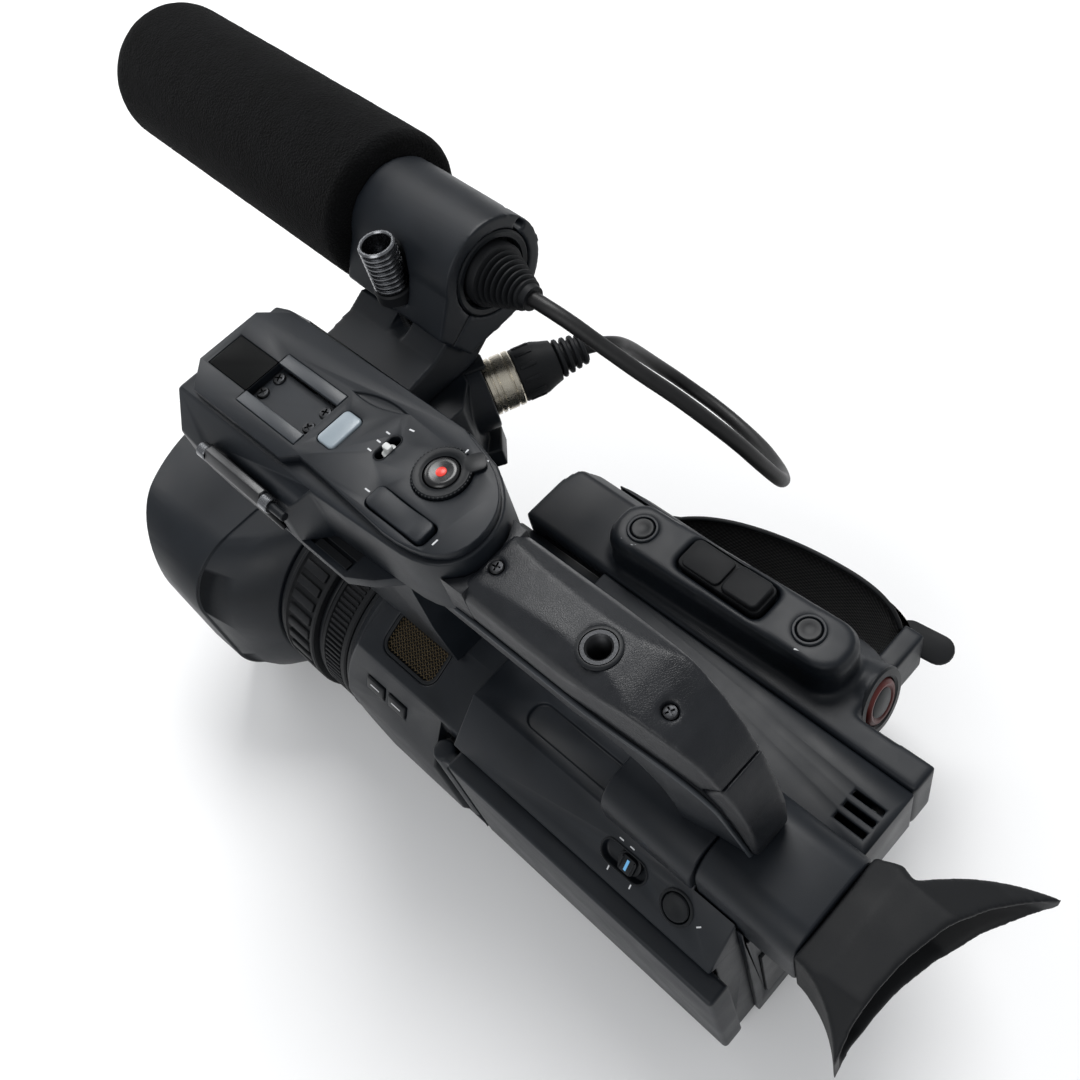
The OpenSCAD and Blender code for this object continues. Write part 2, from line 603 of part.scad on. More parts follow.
module mic_clamp() color(charcoal) difference() {
  union() {
    holder_half(true);
    hinge_knuckle(-54, -30, 2.2);
  }
  on_mic() turned(-28, -10, 13.4);
  on_mic() turned(-80, -10, mic_r + 0.15);
  hinge_knuckle(-80, -54, 2.6);
  hinge_knuckle(-30, -10, 2.6);
  hinge_knuckle(-80, -6, 1.2);
  on_knob() translate([0, 0, 160]) cylinder(h = 40, r = 2.2);
  on_knob() translate([0, 0, 182]) cylinder(h = 40, r = 6.6);
}
module clamp_knob() color(chrome_grey) on_knob() difference() {
  union() {
    translate([0, 0, 171]) cylinder(h = 14, r = 1.9);
    translate([0, 0, 182.3]) cylinder(h = 4, r = 5.9);
    translate([0, 0, 186.3]) cylinder(h = 15.7, r = 5.5);
  }
  translate([0, 0, 189]) cylinder(h = 20, r = 4.3);
}
module microphone() color(dark) on_mic() {
  turned(-188, -26, mic_r);
}
module mic_foam() color(rubber_black) on_mic() difference() {
  rotate_extrude() polygon(concat(
    [[0, foam_rear - foam_l], [foam_r - 13, foam_rear - foam_l]],
    [for (a = [-90:15:0]) [foam_r - 13 + 13 * cos(a), foam_rear - foam_l + 13 + 13 * sin(a)]],
    [for (a = [0:15:90]) [foam_r - 4 + 4 * cos(a), foam_rear - 4 + 4 * sin(a)]],
    [[0, foam_rear]]
  ));
  turned(-188.2, -60, mic_r + 0.1);
}
module mic_boot() color(rubber_black) on_mic() {
  turned(-26, -19.6, 9.8);
  turned(-19.6, -8, 5);
  for (i = [0:4]) turned(-19 + i * 2.2, -17.6 + i * 2.2, 8.6 - i * 0.8);
  turned(-8, -5, 4.6);
}
module xlr_plug_shell() color(silver) on_plug() {
  turned(-14, 0.2, 7.6);
  difference() {
    turned(0.2, 10, 8.9);
    for (s = [1.6, 3.4, 7.4]) difference() {
      turned(s, s + 0.7, 11);
      turned(s - 1, s + 2, 8.4);
    }
  }
}
module xlr_plug_sleeve() color(rubber_black) on_plug() {
  turned(10.05, 18, 8.5);
  translate([0, 0, 18]) cylinder(h = 5.5, r1 = 8.5, r2 = 6.4);
  for (i = [0:3]) turned(23.9 + i * 2.5, 25.5 + i * 2.5, 6.2 - i * 0.35);
  turned(23.5, 33.2, 4.2);
}
// One closed tube swept along the cable's route
function unit(v) = v / norm(v);
function tangent(p, i) = unit(p[min(i + 1, len(p) - 1)] - p[max(i - 1, 0)]);
function route_smooth(p) = [
  for (i = [0:len(p) - 2]) for (t = [0, 0.5])
    let (a = p[max(i - 1, 0)], b = p[i], c = p[i + 1], d = p[min(i + 2, len(p) - 1)])
      0.5 * (2 * b + (c - a) * t + (2 * a - 5 * b + 4 * c - d) * t * t
      + (3 * b - a - 3 * c + d) * t * t * t),
  p[len(p) - 1]
];
module tube(p, r, sides = 8) {
  rings = [for (i = [0:len(p) - 1])
    let (t = tangent(p, i), side = unit(cross(t, [0.5, -0.3, 0.2])), over = cross(t, side))
      [for (k = [0:sides - 1]) p[i] + r * (side * cos(k * 360 / sides) + over * sin(k * 360 / sides))]];
  n = len(p);
  polyhedron(
    points = [for (ring = rings) each ring],
    faces = concat(
      [[for (k = [0:sides - 1]) k]],
      [[for (k = [sides - 1:-1:0]) (n - 1) * sides + k]],
      [for (i = [0:n - 2], k = [0:sides - 1])
        [i * sides + (k + 1) % sides, i * sides + k, (i + 1) * sides + k, (i + 1) * sides + (k + 1) % sides]]
    )
  );
}
module mic_cable() color(rubber_black) tube(route_smooth(cable_route), cable_r);

// ---- screen ----
module lcd_panel() color(charcoal) difference() {
  union() {
    block([lcd_x0, 24.2, lcd_z0], [lcd_x0 + lcd_t, 24.2 + lcd_l, lcd_z0 + lcd_h]);
    block([31, 19, 30], [35.6, 25, 81]);
    translate([hinge_x, hinge_y, 30]) cylinder(h = 51, r = 3.8);
  }
  block([lcd_x0 - 1, 33, lcd_z0 + 4], [lcd_x0 + 1.2, 24.2 + lcd_l - 8, lcd_z0 + lcd_h - 4]);
}
module lcd_screen() color("#101418")
  block([lcd_x0 + 0.1, 33.1, lcd_z0 + 4.1], [lcd_x0 + 1.2, 24.1 + lcd_l - 8, lcd_z0 + lcd_h - 4.1]);

// ---- viewfinder ----
module vf_housing() color(charcoal) difference() {
  intersection() {
    along_y(79, vf_front - 0.4) translate([vf_x, vf_z]) round_rect(36.4, 33, 10);
    block([-30, 70, deck_z], [30, 130, 130]);
  }
  viewfinder_channel();
}
module vf_tube() color(charcoal) difference() {
  union() {
    along_y(vf_front, vf_rear) translate([vf_x, vf_z]) round_rect(33.6, 32.4, 9);
    along_y(84, vf_front + 1) translate([vf_x, vf_z]) round_rect(27, 24, 5.6);
  }
  translate([vf_x, 90, vf_z]) rotate([-90, 0, 0]) cylinder(h = 80, r = 9.6);
}
module eyepiece_lens() color("#22303a") translate([vf_x, 132, vf_z]) rotate([-90, 0, 0])
  cylinder(h = 5, r = 9.6);
cup_left = curve([17, 146], [19, 158], [30, 166]);
cup_right = concat(curve([-40, 183.4], [-34, 167], [-17, 155]), [[-18.6, 151], [-16.6, 146]]);
cup_rim = [[20, 164], [10, 163.8], [0, 164.6], [-12, 167.2], [-24, 172.2], [-33, 178]];
module cup_solid(t) intersection() {
  up(60, 140) polygon(concat(
    [[17 - t, vf_rear + 0.2]],
    [for (p = cup_left) p - [t, 0]], [for (p = cup_rim) p + [0, t]], [for (p = cup_right) p + [t, 0]],
    [[-16 + t, vf_rear + 0.2]]
  ));
  along_x(-60, 60) polygon([
    [vf_rear, vf_z - 14 + t], [vf_rear, vf_z + 14 - t], [152, vf_z + 16 - t], [168, vf_z + 16.5 - t],
    [190, vf_z + 3 - t / 2], [190, vf_z - 7 + t / 2], [168, vf_z - 17 + t], [152, vf_z - 16 + t]
  ]);
  translate([0, 0, vf_z]) along_y(vf_rear, 200) polygon([
    [-44 + t, 0], [-30, 9 - t], [-15, 16.5 - t], [15, 16.5 - t], [29, 10 - t], [36 - t, 0],
    [29, t - 10], [15, t - 17], [-15, t - 17], [-30, t - 9]
  ]);
}
module eyecup() color(rubber_black) difference() {
  cup_solid(0);
  intersection() {
    cup_solid(2.2);
    block([-60, vf_rear + 3, 60], [60, 200, 140]);
  }
  translate([vf_x, 140, vf_z]) rotate([-90, 0, 0]) cylinder(h = 20, r = 9.6);
}

// ---- control strip ----
module power_switch() color(dark) on_strip(90) {
  translate([0, 1.5, 0]) up(-2.2, -0.8) round_rect(6.2, 8, 2.8);
  translate([0, 1.5, 0]) up(-0.8, 0.7) round_rect(5.4, 5.6, 1.4);
}
module mode_button() color(dark) on_strip(109.5) translate([0, 0, -2.3]) cylinder(h = 3, r = 4.2);

base_plate();
tripod_insert();
left_case();
right_case();
front_housing();
rear_panel();
main_board();
sensor_block();
lens_barrel();
front_lens();
lens_hood();
focus_ring();
zoom_ring();
side_mic_mesh();
side_button_front();
side_button_rear();
grip_case();
grip_rocker();
focus_button();
rec_small_button();
rec_trigger();
strap_pad();
strap_webbing();
handle_lower();
handle_grip();
handle_end_cap();
handle_insert();
top_screws();
head_case();
head_plate();
accessory_shoe();
remote_window();
tally_lamp();
zoom_rocker();
handle_rec_button();
hold_ring();
speed_switch();
level_dial_front();
level_dial_rear();
audio_cover();
hinge_rod();
xlr_housing();
mic_bracket();
mic_clamp();
clamp_knob();
microphone();
mic_foam();
mic_boot();
mic_cable();
xlr_plug_shell();
xlr_plug_sleeve();
lcd_panel();
lcd_screen();
vf_housing();
vf_tube();
eyecup();
eyepiece_lens();
power_switch();
mode_button();
battery();
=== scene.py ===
import json
import math
import bpy
import bmesh
from mathutils import Euler, Matrix, Vector, noise


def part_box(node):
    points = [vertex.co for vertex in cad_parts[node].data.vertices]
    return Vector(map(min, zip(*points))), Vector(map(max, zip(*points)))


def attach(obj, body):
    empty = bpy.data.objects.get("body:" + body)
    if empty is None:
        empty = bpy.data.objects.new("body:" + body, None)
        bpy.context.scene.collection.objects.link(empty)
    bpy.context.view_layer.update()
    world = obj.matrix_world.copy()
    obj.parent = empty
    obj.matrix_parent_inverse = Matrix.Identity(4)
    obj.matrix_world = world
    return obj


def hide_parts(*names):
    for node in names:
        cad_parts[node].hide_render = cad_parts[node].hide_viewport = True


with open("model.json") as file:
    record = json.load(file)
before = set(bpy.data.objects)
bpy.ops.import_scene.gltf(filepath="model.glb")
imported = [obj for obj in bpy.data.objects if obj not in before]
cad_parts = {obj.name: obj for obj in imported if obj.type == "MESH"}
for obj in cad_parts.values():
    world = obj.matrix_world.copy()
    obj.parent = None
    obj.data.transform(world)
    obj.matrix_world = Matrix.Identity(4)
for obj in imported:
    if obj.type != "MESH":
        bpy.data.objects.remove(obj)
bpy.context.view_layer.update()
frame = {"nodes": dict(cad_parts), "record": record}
cadNodes = frame["nodes"]
nodeBody = {n: b for b, members in frame["record"]["behaviour"]["bodies"].items() for n in members}
nodeSlot = {s["node"]: s["material_slot"] for s in frame["record"]["subparts"]}
scene = bpy.context.scene
mm = 0.001  # every shape below is drawn in millimetres and brought to metres when it is placed
print("stage: frame loaded,", len(cadNodes), "nodes")


# camera, behind the operator's right shoulder, looking down
cameraSetup = {"place": (0.0695, 0.195, 0.414), "lens": 38.97, "pitch": 35.34, "heading": 151.61,
               "roll": -20.58}
cameraData = bpy.data.cameras.new("camera")
cameraData.lens = cameraSetup["lens"]
cameraData.sensor_width = 36
cameraData.clip_start = 0.01
camera = bpy.data.objects.new("camera", cameraData)
scene.collection.objects.link(camera)
turn = Euler((math.radians(cameraSetup["pitch"]), 0, math.radians(cameraSetup["heading"]))).to_matrix()
turn = turn @ Matrix.Rotation(math.radians(cameraSetup["roll"]), 3, "Z")
camera.matrix_world = Matrix.Translation(cameraSetup["place"]) @ turn.to_4x4()
scene.camera = camera


# small helpers for shader trees
def addNode(tree, kind, inputs=None, **props):
    node = tree.nodes.new(kind)
    for key, value in props.items():
        setattr(node, key, value)
    for key, value in (inputs or {}).items():
        node.inputs[key].default_value = value
    return node


def link(source, target):
    source.id_data.links.new(source, target)


def startMaterial(name, base, rough, metal=0.0, specular=0.5):
    material = bpy.data.materials.new(name)
    material.use_nodes = True
    tree = material.node_tree
    shader = tree.nodes["Principled BSDF"]
    shader.inputs["Base Color"].default_value = (*base, 1)
    shader.inputs["Roughness"].default_value = rough
    shader.inputs["Metallic"].default_value = metal
    shader.inputs["Specular IOR Level"].default_value = specular
    return material, tree, shader


def objectPoint(tree):
    return addNode(tree, "ShaderNodeTexCoord").outputs["Object"]


def noiseOf(tree, point, size, detail=3.0, rough=0.5):
    made = addNode(tree, "ShaderNodeTexNoise",
                   {"Scale": 1 / (size * mm), "Detail": detail, "Roughness": rough})
    link(point, made.inputs["Vector"])
    return made.outputs["Fac"]


def remapped(tree, value, low, high, newLow, newHigh):
    made = addNode(tree, "ShaderNodeMapRange",
                   {"From Min": low, "From Max": high, "To Min": newLow, "To Max": newHigh})
    link(value, made.inputs["Value"])
    return made.outputs["Result"]


def tinted(tree, shader, value, dark, light):
    mix = addNode(tree, "ShaderNodeMix", data_type="RGBA")
    mix.inputs[6].default_value = (*dark, 1)
    mix.inputs[7].default_value = (*light, 1)
    link(value, mix.inputs[0])
    link(mix.outputs[2], shader.inputs["Base Color"])


def bumped(tree, shader, heights):
    previous = None
    for value, depth in heights:  # depth is in millimetres
        bump = addNode(tree, "ShaderNodeBump", {"Strength": 1.0, "Distance": depth * mm})
        link(value, bump.inputs["Height"])
        if previous:
            link(previous, bump.inputs["Normal"])
        previous = bump.outputs["Normal"]
    link(previous, shader.inputs["Normal"])


def mouldedPlastic(name, look):
    material, tree, shader = startMaterial(name, look["base"], look["rough"],
                                           specular=look.get("specular", 0.5))
    point = objectPoint(tree)
    cloud = noiseOf(tree, point, look.get("cloud", 14), 4)
    spark = noiseOf(tree, point, look["grain"], 2)
    base = look["base"]
    # painted highlight: sharp edges are painted lighter by their pointiness, standing in for the reflections
    # that edges catch; this is added to a random cloudy tone
    highlightGeometry = addNode(tree, "ShaderNodeNewGeometry")
    edge = remapped(tree, highlightGeometry.outputs["Pointiness"], 0.515, 0.6, 0, look.get("edge_highlight", 0.35))
    shade = remapped(tree, cloud, 0.3, 0.7, 0, 0.5)
    edgeHighlightAndTone = addNode(tree, "ShaderNodeMath", operation="ADD", use_clamp=True)
    link(edge, edgeHighlightAndTone.inputs[0])
    link(shade, edgeHighlightAndTone.inputs[1])
    tinted(tree, shader, edgeHighlightAndTone.outputs[0], [c * 0.82 for c in base], [c * 1.55 + 0.002 for c in base])
    both = addNode(tree, "ShaderNodeMath", {1: 0.5}, operation="MULTIPLY_ADD")
    link(spark, both.inputs[0])
    link(cloud, both.inputs[2])
    rough = remapped(tree, both.outputs[0], 0.4, 1.0, look["rough"] - 0.07, look["rough"] + 0.1)
    link(rough, shader.inputs["Roughness"])
    bumped(tree, shader, [(spark, look["depth"])])
    return material


def grainedSkin(name, look):
    material, tree, shader = startMaterial(name, look["base"], look["rough"], specular=0.34)
    point = objectPoint(tree)
    cells = addNode(tree, "ShaderNodeTexVoronoi", {"Scale": 1 / (look["cell"] * mm), "Randomness": 0.95},
                    feature="DISTANCE_TO_EDGE")
    bend = addNode(tree, "ShaderNodeTexNoise", {"Scale": 420.0, "Detail": 2.0})
    link(point, bend.inputs["Vector"])
    warp = addNode(tree, "ShaderNodeVectorMath", {1: (0.0011, 0.0011, 0.0011)}, operation="MULTIPLY_ADD")
    link(bend.outputs["Color"], warp.inputs[0])
    link(point, warp.inputs[2])
    link(warp.outputs[0], cells.inputs["Vector"])
    valley = remapped(tree, cells.outputs["Distance"], 0.0, 0.16, 0, 1)
    cloud = noiseOf(tree, point, 11, 4)
    tinted(tree, shader, cloud, [c * 0.7 for c in look["base"]], [c * 1.5 for c in look["base"]])
    rough = remapped(tree, cloud, 0.3, 0.7, look["rough"] - 0.06, look["rough"] + 0.12)
    link(rough, shader.inputs["Roughness"])
    bumped(tree, shader, [(valley, look["depth"]), (noiseOf(tree, point, 0.16, 2), 0.01)])
    return material


def openFoam(name, look):
    material, tree, shader = startMaterial(name, look["base"], 0.95, specular=0.06)
    point = objectPoint(tree)
    pores = addNode(tree, "ShaderNodeTexVoronoi", {"Scale": 1 / (look["pore"] * mm), "Randomness": 1.0})
    link(point, pores.inputs["Vector"])
    fuzz = noiseOf(tree, point, 0.5, 4, 0.7)
    depth = remapped(tree, pores.outputs["Distance"], 0.05, 0.75, 1, 0)
    cloud = noiseOf(tree, point, 9, 5, 0.6)
    product = addNode(tree, "ShaderNodeMath", operation="MULTIPLY")
    link(fuzz, product.inputs[0])
    link(cloud, product.inputs[1])
    lift = remapped(tree, product.outputs[0], 0.12, 0.42, 0, 1)
    tinted(tree, shader, lift, [c * 0.45 for c in look["base"]], [c * 2.4 for c in look["base"]])
    shader.inputs["Sheen Weight"].default_value = 0.02
    shader.inputs["Sheen Roughness"].default_value = 0.6
    bumped(tree, shader, [(depth, 0.28), (fuzz, 0.3), (noiseOf(tree, point, 1.6, 4, 0.65), 0.25)])
    return material


def wovenCloth(name, look):
    material, tree, shader = startMaterial(name, look["base"], 0.85, specular=0.25)
    coords = addNode(tree, "ShaderNodeTexCoord")
    mapping = addNode(tree, "ShaderNodeMapping", {"Scale": (1 / look["yarn"], 1 / look["yarn"], 1)})
    link(coords.outputs["UV"], mapping.inputs["Vector"])
    parts = addNode(tree, "ShaderNodeSeparateXYZ")
    link(mapping.outputs["Vector"], parts.inputs[0])
    waves = []
    for axis in (0, 1):
        wave = addNode(tree, "ShaderNodeMath", operation="SINE")
        scale = addNode(tree, "ShaderNodeMath", {1: math.pi}, operation="MULTIPLY")
        link(parts.outputs[axis], scale.inputs[0])
        link(scale.outputs[0], wave.inputs[0])
        waves.append(wave.outputs[0])
    cross = addNode(tree, "ShaderNodeMath", operation="MULTIPLY")
    link(waves[0], cross.inputs[0])
    link(waves[1], cross.inputs[1])
    height = remapped(tree, cross.outputs[0], -1, 1, 0, 1)
    fuzz = noiseOf(tree, objectPoint(tree), 0.4, 4, 0.7)
    # painted shade and highlight: the weave's low points are painted darker and its crowns lighter, following
    # the same height that drives the bump
    tinted(tree, shader, height, [c * 0.45 for c in look["base"]], [c * 1.8 for c in look["base"]])
    shader.inputs["Sheen Weight"].default_value = 0.08
    bumped(tree, shader, [(height, look["depth"]), (fuzz, 0.12)])
    return material


def metalFinish(name, look):
    material, tree, shader = startMaterial(name, look["base"], look["rough"], metal=1.0)
    point = objectPoint(tree)
    cloud = noiseOf(tree, point, 5, 5, 0.6)
    scratch = noiseOf(tree, point, 0.35, 3)
    tinted(tree, shader, cloud, [c * 0.72 for c in look["base"]], [min(1, c * 1.2) for c in look["base"]])
    rough = remapped(tree, scratch, 0.3, 0.7, look["rough"] - 0.05, look["rough"] + 0.12)
    link(rough, shader.inputs["Roughness"])
    bumped(tree, shader, [(scratch, look.get("depth", 0.006))])
    return material


def glassyFinish(name, look):
    material, tree, shader = startMaterial(name, look["base"], look["rough"])
    point = objectPoint(tree)
    smear = noiseOf(tree, point, 3.5, 5, 0.6)
    rough = remapped(tree, smear, 0.35, 0.8, look["rough"], look["rough"] + 0.07)
    link(rough, shader.inputs["Roughness"])
    tinted(tree, shader, smear, [c * 0.9 for c in look["base"]], [min(1, c * 1.12) for c in look["base"]])
    shader.inputs["Coat Weight"].default_value = look["coat"]
    shader.inputs["Coat Roughness"].default_value = 0.04
    bumped(tree, shader, [(smear, 0.004)])
    return material


def circuitFinish(name):
    material, tree, shader = startMaterial(name, (0.01, 0.09, 0.04), 0.4)
    point = objectPoint(tree)
    bricks = addNode(tree, "ShaderNodeTexBrick", {"Scale": 260.0, "Mortar Size": 0.05})
    link(point, bricks.inputs["Vector"])
    tinted(tree, shader, bricks.outputs["Fac"], (0.008, 0.07, 0.03), (0.05, 0.22, 0.09))
    bumped(tree, shader, [(bricks.outputs["Fac"], 0.05)])
    return material


plasticLooks = {
    "body_charcoal": {"base": (0.0042, 0.0060, 0.0088), "rough": 0.43, "grain": 0.22, "depth": 0.012,
                      "specular": 0.26},
    "body_dark": {"base": (0.0023, 0.0033, 0.0046), "rough": 0.4, "grain": 0.2, "depth": 0.01,
                  "specular": 0.22},
    "lip_grey": {"base": (0.018, 0.0215, 0.026), "rough": 0.38, "grain": 0.24, "depth": 0.012, "cloud": 22,
                 "specular": 0.4},
    "rubber_black": {"base": (0.0030, 0.0036, 0.0046), "rough": 0.56, "grain": 0.3, "depth": 0.014,
                     "specular": 0.22},
    "cable_black": {"base": (0.004, 0.004, 0.0044), "rough": 0.46, "grain": 0.5, "depth": 0.03, "cloud": 6,
                    "specular": 0.34},
    # the white switch gets a weaker painted edge highlight
    "switch_white": {"base": (0.5, 0.51, 0.5), "rough": 0.4, "grain": 0.2, "depth": 0.01, "edge_highlight": 0.1},
    "trigger_red": {"base": (0.07, 0.009, 0.007), "rough": 0.38, "grain": 0.22, "depth": 0.01,
                    "specular": 0.3},
}
finishes = {slot: mouldedPlastic(slot, look) for slot, look in plasticLooks.items()}
finishes["handle_skin"] = grainedSkin("handle_skin",
                                      {"base": (0.0058, 0.0068, 0.0088), "rough": 0.37, "cell": 0.6,
                                       "depth": 0.02})
finishes["foam_black"] = openFoam("foam_black", {"base": (0.0013, 0.0014, 0.0016), "pore": 0.75})
finishes["strap_fabric"] = wovenCloth("strap_fabric",
                                      {"base": (0.0045, 0.0045, 0.005), "yarn": 0.0011, "depth": 0.22})
metalLooks = {
    "chrome_knob": {"base": (0.2, 0.205, 0.215), "rough": 0.22},
    "nickel": {"base": (0.62, 0.57, 0.47), "rough": 0.26, "depth": 0.01},
    "metal_insert": {"base": (0.034, 0.035, 0.037), "rough": 0.38},
    "mesh_metal": {"base": (0.11, 0.085, 0.05), "rough": 0.36},
}
glassyLooks = {
    "gloss_black": {"base": (0.0035, 0.0035, 0.004), "rough": 0.24, "coat": 0.0},
    "clear_lamp": {"base": (0.21, 0.25, 0.28), "rough": 0.3, "coat": 0.1},
    "clear_cover": {"base": (0.01, 0.0105, 0.012), "rough": 0.34, "coat": 0.0},
    "lens_glass": {"base": (0.006, 0.009, 0.016), "rough": 0.03, "coat": 1.0},
    "screen_glass": {"base": (0.004, 0.0045, 0.006), "rough": 0.08, "coat": 0.5},
}
finishes.update({slot: metalFinish(slot, look) for slot, look in metalLooks.items()})
finishes.update({slot: glassyFinish(slot, look) for slot, look in glassyLooks.items()})
finishes["circuit_board"] = circuitFinish("circuit_board")
paintLooks = {
    "red_paint": {"base": (0.62, 0.03, 0.018), "rough": 0.35, "grain": 0.2, "depth": 0.005},
    "window_black": {"base": (0.0016, 0.0019, 0.002), "rough": 0.5, "grain": 0.1, "depth": 0.004,
                     "specular": 0.05},
    "blue_paint": {"base": (0.12, 0.36, 0.62), "rough": 0.35, "grain": 0.2, "depth": 0.005},
    "white_paint": {"base": (0.42, 0.43, 0.44), "rough": 0.5, "grain": 0.15, "depth": 0.004},
}
redPaint, windowBlack, bluePaint, whitePaint = [mouldedPlastic(name, look) for name,
                                                look in paintLooks.items()]
print("stage: finishes made,", len(finishes))


# shapes, each one a bmesh in millimetres
def place(x=0, y=0, z=0, turned=(0, 0, 0)):
    return Matrix.Translation((x, y, z)) @ Euler([math.radians(a) for a in turned]).to_matrix().to_4x4()


lensPlace = place(0, 0, 54, (-90, 0, 0))
micFrame = place(-63.1, 0, 186, (-1, 0, -2))
micPlace = micFrame @ place(turned=(-90, 0, 0))
plugPlace = place(-51.3, -26.1, 145, (0, 90, 155))
jackPlace = place(-48.6, -41.75, 116, (0, 90, 155))
meshPlace = place(15.6, -9, 92.6, (0, 24.2, 0))
triggerPlace = place(-62, 114, 87, (-78, 0, 6))


def stripPlace(y):
    return place(23.8, y, 93, (0, 45, 0))


def shapeFrom(points, faces):
    shape = bmesh.new()
    made = [shape.verts.new(p) for p in points]
    for face in faces:
        shape.faces.new([made[i] for i in face])
    bmesh.ops.recalc_face_normals(shape, faces=shape.faces)
    return shape


def latheShape(profile, steps=48, closed=False):
    points, faces, rings = [], [], []
    for r, z in profile:
        if r < 1e-6:
            rings.append([len(points)])
            points.append((0, 0, z))
        else:
            rings.append(list(range(len(points), len(points) + steps)))
            points += [(r * math.cos(2 * math.pi * k / steps), r * math.sin(2 * math.pi * k / steps), z)
                       for k in range(steps)]
    pairs = list(zip(rings, rings[1:])) + ([(rings[-1], rings[0])] if closed else [])
    for a, b in pairs:
        for k in range(steps):
            n = (k + 1) % steps
            corners = [a[k % len(a)], a[n % len(a)], b[n % len(b)], b[k % len(b)]]
            faces.append(list(dict.fromkeys(corners)))
    return shapeFrom(points, faces)


def outlineShape(outline, low, high):
    n = len(outline)
    points = [(x, y, low) for x, y in outline] + [(x, y, high) for x, y in outline]
    faces = [list(range(n)), list(range(n, 2 * n))]
    faces += [[i, (i + 1) % n, n + (i + 1) % n, n + i] for i in range(n)]
    return shapeFrom(points, faces)


def roundRect(width, height, radius, steps=5):
    corners = []
    for cx, cy, start in ((1, 1, 0), (-1, 1, 90), (-1, -1, 180), (1, -1, 270)):
        for k in range(steps + 1):
            a = math.radians(start + 90 * k / steps)
            corners.append((cx * (width / 2 - radius) + radius * math.cos(a),
                            cy * (height / 2 - radius) + radius * math.sin(a)))
    return corners


def frameShape(outer, inner, low, high):  # outer and inner have the same number of points
    n = len(outer)
    points = [(x, y, z) for z in (low, high) for x, y in outer + inner]
    faces = []
    for i in range(n):
        j = (i + 1) % n
        faces += [[i, j, n + j, n + i], [2 * n + i, 2 * n + j, 3 * n + j, 3 * n + i],
                  [i, j, 2 * n + j, 2 * n + i], [n + i, n + j, 3 * n + j, 3 * n + i]]
    return shapeFrom(points, faces)


def boxShape(low, high):
    return outlineShape([(low[0], low[1]), (high[0], low[1]), (high[0], high[1]), (low[0], high[1])],
                        low[2], high[2])


def rounded(shape, width, segments=2):
    sharp = [e for e in shape.edges if len(e.link_faces) == 2 and e.calc_face_angle(0) > math.radians(30)]
    bmesh.ops.bevel(shape, geom=sharp, offset=width, segments=segments, profile=0.5, affect="EDGES",
                    clamp_overlap=True)
    return shape


def slab(width, height, corner, low, high, soft, segments=2):  # a plate with round corners and soft edges
    return rounded(outlineShape(roundRect(width, height, corner), low, high), soft, segments)


def softBox(low, high, soft, segments=2):
    return rounded(boxShape(low, high), soft, segments)


def moved(shape, matrix):
    shape.transform(matrix)
    return shape


def joined(*shapes):
    whole = shapes[0]
    for other in shapes[1:]:
        spare = bpy.data.meshes.new("spare")
        other.to_mesh(spare)
        whole.from_mesh(spare)
        bpy.data.meshes.remove(spare)
        other.free()
    return whole


def tubeShape(path, outline):
    # carries a closed outline along a path without twisting it
    points, faces = [], []
    line = [Vector(p) for p in path]
    along = [(line[min(i + 1, len(line) - 1)] - line[max(i - 1, 0)]).normalized() for i in range(len(line))]
    side = along[0].cross(Vector((0, 0, 1)) if abs(along[0].z) < 0.9 else Vector((1, 0, 0))).normalized()
    n = len(outline)
    for p, t in zip(line, along):
        side = (side - t * side.dot(t)).normalized()
        over = t.cross(side)
        points += [p + side * a + over * b for a, b in outline]
    for i in range(len(line) - 1):
        faces += [[i * n + k, i * n + (k + 1) % n, (i + 1) * n + (k + 1) % n, (i + 1) * n + k]
                  for k in range(n)]
    faces += [list(range(n)), [(len(line) - 1) * n + k for k in range(n)]]
    return shapeFrom(points, faces)


def circleOutline(radius, sides):
    return [(radius * math.cos(2 * math.pi * k / sides), radius * math.sin(2 * math.pi * k / sides))
            for k in range(sides)]


def smoothLine(points, steps):
    line, spots = [], [Vector(p) for p in points]
    for i in range(len(spots) - 1):
        a, b, c, d = spots[max(i - 1, 0)], spots[i], spots[i + 1], spots[min(i + 2, len(spots) - 1)]
        for s in range(steps):
            t = s / steps
            line.append(0.5 * (2 * b + (c - a) * t + (2 * a - 5 * b + 4 * c - d) * t * t
                               + (3 * b - a - 3 * c + d) * t ** 3))
    return line + [spots[-1]]


def settle(piece, body, replaces=(), smooth=34):
    for polygon in piece.data.polygons:
        polygon.use_smooth = True
    piece.data.set_sharp_from_angle(angle=math.radians(smooth))
    if piece.name not in scene.collection.objects:
        scene.collection.objects.link(piece)
    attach(piece, body)
    if replaces:
        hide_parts(*replaces)
    return piece


def addPiece(name, shape, slot, body="camera_body", at=None, replaces=(), smooth=34, finish=None):
    mesh = bpy.data.meshes.new(name)
    shape.to_mesh(mesh)
    shape.free()
    mesh.transform(Matrix.Scale(mm, 4) @ (at or Matrix.Identity(4)))
    mesh.materials.append(finish or finishes[slot])
    return settle(bpy.data.objects.new(name, mesh), body, replaces, smooth)


def evaluatedMesh(holder):
    bpy.context.view_layer.update()
    graph = bpy.context.evaluated_depsgraph_get()
    return bpy.data.meshes.new_from_object(holder.evaluated_get(graph), depsgraph=graph)


def copiedNode(nodeName):
    mesh = cadNodes[nodeName].data.copy()
    shape = bmesh.new()
    shape.from_mesh(mesh)
    bmesh.ops.remove_doubles(shape, verts=shape.verts, dist=1e-5)
    bmesh.ops.dissolve_limit(shape, angle_limit=math.radians(0.8), verts=shape.verts, edges=shape.edges)
    volume = shape.calc_volume(signed=True)
    shape.to_mesh(mesh)
    shape.free()
    mesh.materials.clear()
    holder = bpy.data.objects.new(nodeName + "_holder", mesh)
    scene.collection.objects.link(holder)
    return holder, volume


def volumeOf(mesh):
    shape = bmesh.new()
    shape.from_mesh(mesh)
    volume = shape.calc_volume(signed=True)
    shape.free()
    return volume


